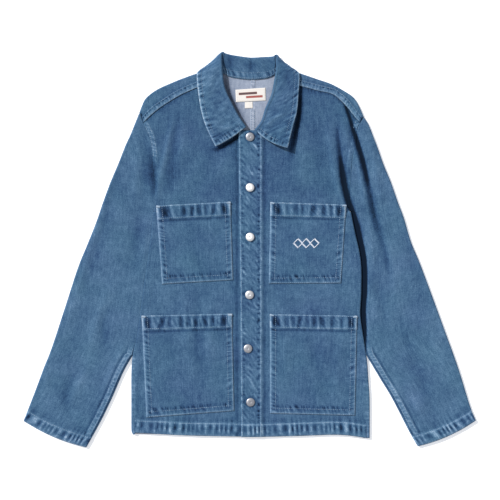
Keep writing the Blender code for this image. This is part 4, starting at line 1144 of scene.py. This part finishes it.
def collar():
    """The collar with its edges thick, puckered and worn, the stand's inside puckered along the
    neck seam, and its stitches."""
    grid = collar_form()
    column = np.arange(grid.shape[1])
    across = np.linalg.norm(np.diff(grid, axis=1), axis=2)
    from_base = np.pad(across.cumsum(1), ((0, 0), (1, 0)))
    from_edge = np.pad(across[:, ::-1].cumsum(1)[:, ::-1], ((0, 0), (0, 1)))
    on = np.pad(np.linalg.norm(np.diff(grid, axis=0), axis=2).cumsum(0), ((1, 0), (0, 0)))
    from_ends = np.minimum(on, on[-1] - on)
    on_leaf = ease((column - (STAND + 6)) / 5)
    rim = np.minimum(from_edge, np.where(on_leaf > 0, from_ends, 1e3))
    tug = rope(np.where(from_edge < from_ends, on, from_edge + 7), rim / 12, 8.2, 0.3, 21)
    near = bell((rim - COLLAR_LINE) / 6) * on_leaf
    pits = np.maximum(0, 0.15 - tug) * bell((rim - 5.2) / 2.4) * on_leaf
    raised = ease((COLLAR_LINE - rim) / 2) * ease((rim + 0.5) / 2) * on_leaf
    move = 0.35 * raised + near * 0.40 * tug - 0.4 * bell((rim - COLLAR_LINE) / 1.4) * on_leaf
    soft = unevenness(grid[..., 0], grid[..., 1], 31, 60)
    worn = streaks(on, from_edge, 20, (9, 13, 19), 33) * on_leaf
    crease, shade = folds(grid[..., 0], grid[..., 1], COLLAR_FOLDS)
    move = move + 0.35 * soft * on_leaf + 0.22 * worn * on_leaf + crease
    tint = (0.36 + 0.08 * tug) * bell(rim / 2.2) * on_leaf - 0.34 * pits
    tint = tint + (near * 0.15 * tug + 0.05 * raised + 0.09 * worn) * on_leaf
    tint = tint - 0.06 * bell((rim - COLLAR_LINE) / 1.6) * on_leaf + 0.02 + shade
    tint = tint - 0.05 * ease((grid[..., 0] - 5) / 40) * on_leaf          # painted shade on the leaf that faces the light
    # the stand's inside: puckered band by the neck seam, shade in the roll's turn
    inside = 1 - ease((column - (STAND - 3)) / 4)
    tug = rope(on, from_base / 14, 9.5, 0.5, 27)
    low = bell((from_base - 8) / 7) * inside
    move = move + low * 0.55 * tug
    tint = tint + low * (0.22 * tug + 0.04) + inside * (0.16 * bell(from_base / 2) - 0.05)
    grid = grid + grid_normals(grid) * move[..., None]
    grid[..., 2] = np.maximum(grid[..., 2], 0)
    weave = np.stack([on * 0.9, from_base], -1)
    item = piece("collar", [(grid, tint, weave)], False, [DENIM, DENIM], wall=COLLAR_CLOTH)
    # the leaf's stitches: along its edge where that doesn't lie below the collar, and its ends
    normals = grid_normals(grid)
    row = inset(grid[9:-9, ::-1], COLLAR_LINE)
    for half in (row[:, 0] < 0, row[:, 0] > 0):
        seen = half & (row[:, 2] > 1.5)
        stitch(row[seen], normals[9:-9, -8][seen], long=COLLAR_STITCH)
    for end in (grid, grid[::-1]):
        end = np.swapaxes(end[:END_SECTIONS, STAND + 7:-9], 0, 1)
        stitch(inset(end, COLLAR_LINE), long=COLLAR_STITCH)
    for distance, beside in ((3.0, 2), (13.0, 4)):                       # inside the stand
        stitch(inset(grid[BACK_SECTIONS], distance), normals[BACK_SECTIONS, beside],
               long=COLLAR_STITCH)


# =============================== pockets ===============================

POCKET_CELL = 2.3           # between a pocket's grid points
TACK_STITCHES = 7
tack_lines = []


def pocket(name, side, top_inner, top_outer, bottom_outer, bottom_inner):
    """A patch pocket over a bilinear plan: it lies on the front's folds, dips to the cloth at
    its edges, and has a thick puckered band along its mouth."""
    tall, wide = math.dist(bottom_inner, top_inner), math.dist(bottom_inner, bottom_outer)
    plan, u, v = patch((bottom_inner, bottom_outer), (top_inner, top_outer),
                       int(tall / POCKET_CELL), int(wide / POCKET_CELL))
    x, y = plan[..., 0], plan[..., 1]
    relief, tint = front_relief(side, x, y)
    from_inner, from_outer = u * wide, (1 - u) * wide
    from_bottom, from_top = v * tall, (1 - v) * tall
    sides = np.minimum(from_inner, from_outer)
    rim = np.minimum(sides, from_bottom)
    from_band = from_top - POCKET_BAND
    in_band = ease((0.8 - from_band) / 1.6)
    z = LAYERS + relief + SEAM_GAP + POCKET_CLOTH - 0.9 * bell(rim / 1.6)
    z = z + 0.25 * bell((rim - 5) / 3)
    z = z + 0.55 * bell((sides - wide / 2) / (wide / 3)) * ease(from_bottom / 60) * (1 - in_band)
    z = z + in_band * (SEAM_STEP - 0.2 * bell(from_top / 2)) - 0.5 * bell(from_band / 1.6)
    dz, shade = band_puckers(name, x, from_top)
    z, tint = z + dz * in_band, tint * 0.9 + shade * in_band
    tint = tint + 0.12 * streaks(x, y, 20, (6.5, 9, 14), 71 + side) * in_band
    # fine puckers along the sides and the bottom
    pull = rope(y, sides / 10, 8.5, 0.4, 41 + side)
    near = bell((sides - 8) / 5) * (1 - in_band)
    z = z + 0.22 * pull * near
    tint = tint + (0.21 * pull - 0.03) * near
    pull = rope(x, from_bottom / 12, 9.0, 0.5, 47 + side)
    near = bell((from_bottom - 10) / 7) * ease(sides / 8)
    z = z + 0.36 * pull * near
    tint = tint + (0.16 * pull - 0.05) * near
    ticks = np.maximum(0, 0.2 - rope(x, from_bottom / 12, 6.5, 0.2, 55 + side))
    tint = tint - 0.30 * ticks * bell((from_bottom - 14.5) / 3) * ease(sides / 10)
    # pale worn edges, the band's step with the shade below it, and pale corners at the mouth
    tint = tint + 0.24 * bell(rim / 1.8) + 0.17 * bell((rim - 2.8) / 1.6)
    tint = tint + 0.28 * bell(from_top / 2.0) + 0.16 * bell((from_band + 2) / 2)
    tint = tint - 0.22 * bell((from_band - 2.5) / 2.4) * ease(sides / 3)
    tint = tint + 0.25 * bell(np.hypot(sides, from_top) / 6)
    grid = lift(plan, z)
    item = piece(name, [(grid, tint, plan)], side > 0, [POCKET_DENIM, REVERSE],
                 wall=POCKET_CLOTH - 0.1)
    for distance in POCKET_ROWS:
        for edge in (grid[3:], grid[3:, ::-1], np.swapaxes(grid, 0, 1)[2:-2]):
            stitch(inset(edge, distance), rise=0.05)
    down = np.swapaxes(grid[::-1], 0, 1)[1:-1]
    for distance in (1.8, POCKET_BAND - 2.0):
        stitch(inset(down, distance), rise=0.1)
    # bar tacks at the mouth's corners
    for edge in (grid, grid[:, ::-1]):
        for k in range(TACK_STITCHES):
            bar = inset(edge[-3:], 4.0)[1] + [1.1 * k - 3.6, 0, 0.55]
            tack_lines.append([bar + [0, -1.6, 0], bar + [0.3, 1.6, 0]])
    return grid


def band_puckers(name, x, from_top):
    """The puckers of a mouth band, each a dark dip with pale shoulders, deepest half way down
    the band: height and tint."""
    dz, tint = np.zeros(x.shape), np.zeros(x.shape)
    middle = bell((from_top - POCKET_BAND * 0.5) / (POCKET_BAND * 0.48))
    for px, half, deep, leaning in BAND_PUCKERS[name]:
        across = np.abs(x - px - leaning * (from_top / POCKET_BAND - 0.5) * 2)
        dz += deep * (0.28 * bell((across - half * 1.9) / (half * 0.7))
                      - 0.65 * bell(across / half)) * middle
        tint += deep * (0.14 * bell((across - half * 2.0) / (half * 0.6))
                        - 0.29 * np.exp(-(across / (half * 1.35)) ** 3)) * middle
    return dz, tint


# =============================== metal, labels, ornament ===============================

BUTTON_FACE = [(0, 3.05), (1.0, 3.1), (1.8, 3.3), (2.8, 3.38), (4.2, 3.3), (5.6, 3.1), (6.9, 2.75),
               (7.8, 2.25), (8.2, 1.8), (8.25, 1.55), (7.9, 1.25), (6.0, 1.15), (3.4, 1.1),
               (3.1, 0.8), (3.2, 0.0), (0, 0.0)]


def button(number, x, y, lean, painted_shine):
    """A shank button: its outline of (radius, height) turned about its axis, with a dished
    middle and a rolled rim."""
    outline = smooth(BUTTON_FACE, 3)
    turns = spread(41) * 2 * np.pi
    radius, height = np.maximum(outline[:, :1], 0), outline[:, 1:]
    tilt = radius * np.cos(turns - SUN_AROUND) * math.tan(math.radians(lean))
    grid = np.stack([x + radius * np.cos(turns), y + radius * np.sin(turns),
                     LAYERS + LAP_RISE - 0.1 + height - tilt], -1)
    weave = np.stack([radius * turns, height + 0 * turns], -1)
    piece(f"button_{number}", [(grid, painted_shine, weave)], False, [METAL],
          ending="_metal")


def label(name, corners, striped):
    """A woven label that dips to the cloth at its edges and swells a little in its middle; the
    neck label has a pair of plain woven stripes."""
    top_left, top_right, bottom_right, bottom_left = corners
    plan, u, v = patch((bottom_left, bottom_right), (top_left, top_right), 22, 44)
    rim = np.minimum(np.minimum(u, 1 - u) * 58, np.minimum(v, 1 - v) * 25)
    z = CLOTH + 0.95 + 0.25 * bell((u - 0.5) / 0.3) - 0.45 * bell(rim / 1.2)
    tint = 0.6 - 0.1 * bell((rim - 2.6) / 0.8)
    if striped:
        tint = tint - 0.40 * (np.abs(v - 0.34) < 0.10) * (np.abs(u - 0.62) < 0.28)
        tint = tint - 0.58 * (np.abs(v - 0.64) < 0.09) * (np.abs(u - 0.40) < 0.30)
    item = piece(name, [(lift(plan, z), tint, plan)], True, [LABEL_CLOTH], wall=0.5)


def centre_back_seam():
    """The felled seam inside the back: a strip 9 mm wide along the centre back, raised
    0.8 mm with rounded sides, and a row of stitches near each side."""
    line = curve([(CENTRE_BACK, BACK_NECK[0]), (CENTRE_BACK - 0.5, 260), (CENTRE_BACK, 180)],
                 spread(70))
    plan = line[:, None] + np.linspace(-4.5, 4.5, 13)[:, None] * [1, 0]
    x = plan[..., 0] - line[:, None, 0]
    pull = rope(plan[..., 1], x / 9, 8, 0.3, 51)
    bare = ease(np.abs(plan[..., 1] - 292) / 3 - 6.5)          # pressed flat under the labels
    z = CLOTH + 0.05 + (0.8 * ease((4.6 - np.abs(x)) / 1.5) + 0.15 * pull) * bare
    tint = 0.05 + 0.15 * pull + 0.1 * bell((np.abs(x) - 4.2) / 0.8)
    grid = lift(plan, z)
    item = piece("centre_back_seam", [(grid, tint, plan)], False, [REVERSE], in_cad=False)
    for shift in (-3.0, 3.0):
        row = np.column_stack([line[:, 0] + shift, line[:, 1], np.full(len(line), CLOTH + 0.95)])
        stitch(row[row[:, 1] > 314])
        stitch(row[row[:, 1] < 270])


LOZENGES = (108, 13)        # the ornament's middle
LOZENGE = 8.5               # from a lozenge's middle to each of its corners


def ornament(grid):
    """Three linked lozenges in satin stitch on the left chest pocket: a plain ornament of
    the builder's own in place of what was sewn there."""
    lines = []
    slope = spread(9)
    for place in (-1, 0, 1):
        for x_way, y_way in ((1, 1), (1, -1), (-1, 1), (-1, -1)):
            xs = LOZENGES[0] + place * LOZENGE * 1.85 + x_way * LOZENGE * (1 - slope)
            ys = LOZENGES[1] + y_way * LOZENGE * slope
            for x, y in zip(xs, ys):
                near = np.hypot(grid[..., 0] - x, grid[..., 1] - y).argmin()
                z = grid[..., 2].flat[near] + 0.25
                lines.append([[x - 1.1, y - 1.1, z], [x + 1.1, y + 1.1, z]])
    return lines


# =============================== making ===============================

for side in (-1, 1):
    front(side)
for side in (-1, 1):
    back(side)
    sleeve(side)
collar()
pocket_grids = {name: pocket(name, *row) for name, row in POCKETS.items()}
for number, row in enumerate(BUTTONS, 1):
    button(number, *row)
label("neck_label", LABEL, True)
label("size_tab", SIZE_TAB, False)
centre_back_seam()
sew("topstitching", THREAD)
for line in tack_lines:
    stitch(line, long=3.1, wide=1.2, stray=0.0)
sew("bar_tacks", TACK_THREAD)
for line in ornament(pocket_grids["pocket_chest_left"]):
    stitch(line, long=3.1, wide=1.7, stray=0.0)
sew("ornament", WHITE_THREAD)

# =============================== floor, light, camera ===============================

FLOOR_REACH = 15.0          # in metres, as all of these
FLOOR_DROP = 0.0004         # just below the cloth, so that the two don't meet
CAMERA_PLACE = (0.0005, -0.00063, 3.0)

floor_mesh = bpy.data.meshes.new("floor")
floor_mesh.from_pydata([(FLOOR_REACH * a, FLOOR_REACH * b, -FLOOR_DROP)
                        for a, b in ((-1, -1), (1, -1), (1, 1), (-1, 1))], [], [(0, 1, 2, 3)])
floor = bpy.data.objects.new("floor", floor_mesh)
bpy.context.scene.collection.objects.link(floor)
# matt white studio paper, lit from below as well, as the ground in a shop's pictures is
paper, _, _ = started("matt_white_paper", Roughness=0.9, Base_Color=hexcolor("F4F4F4"),
                      Emission_Color=hexcolor("FAFBFF"), Emission_Strength=0.42)
floor_mesh.materials.append(paper)

world = bpy.data.worlds.new("studio")
world.use_nodes = True
sky = world.node_tree.nodes["Background"]
sky.inputs["Color"].default_value = hexcolor("F2F5FA")
sky.inputs["Strength"].default_value = 0.5
bpy.context.scene.world = world
bpy.context.scene.view_settings.view_transform = "Standard"

key = bpy.data.lights.new("key", "SUN")
key.energy = 3.3
key.angle = math.radians(5)
key_light = bpy.data.objects.new("key", key)
key_light.rotation_euler = (0, math.pi / 2 - SUN_HEIGHT, SUN_AROUND)
bpy.context.scene.collection.objects.link(key_light)

lens = bpy.data.cameras.new("camera")
lens.lens = 112.3
lens.sensor_width = 36
lens.clip_end = 20
camera = bpy.data.objects.new("camera", lens)
camera.location = CAMERA_PLACE
bpy.context.scene.collection.objects.link(camera)
bpy.context.scene.camera = camera
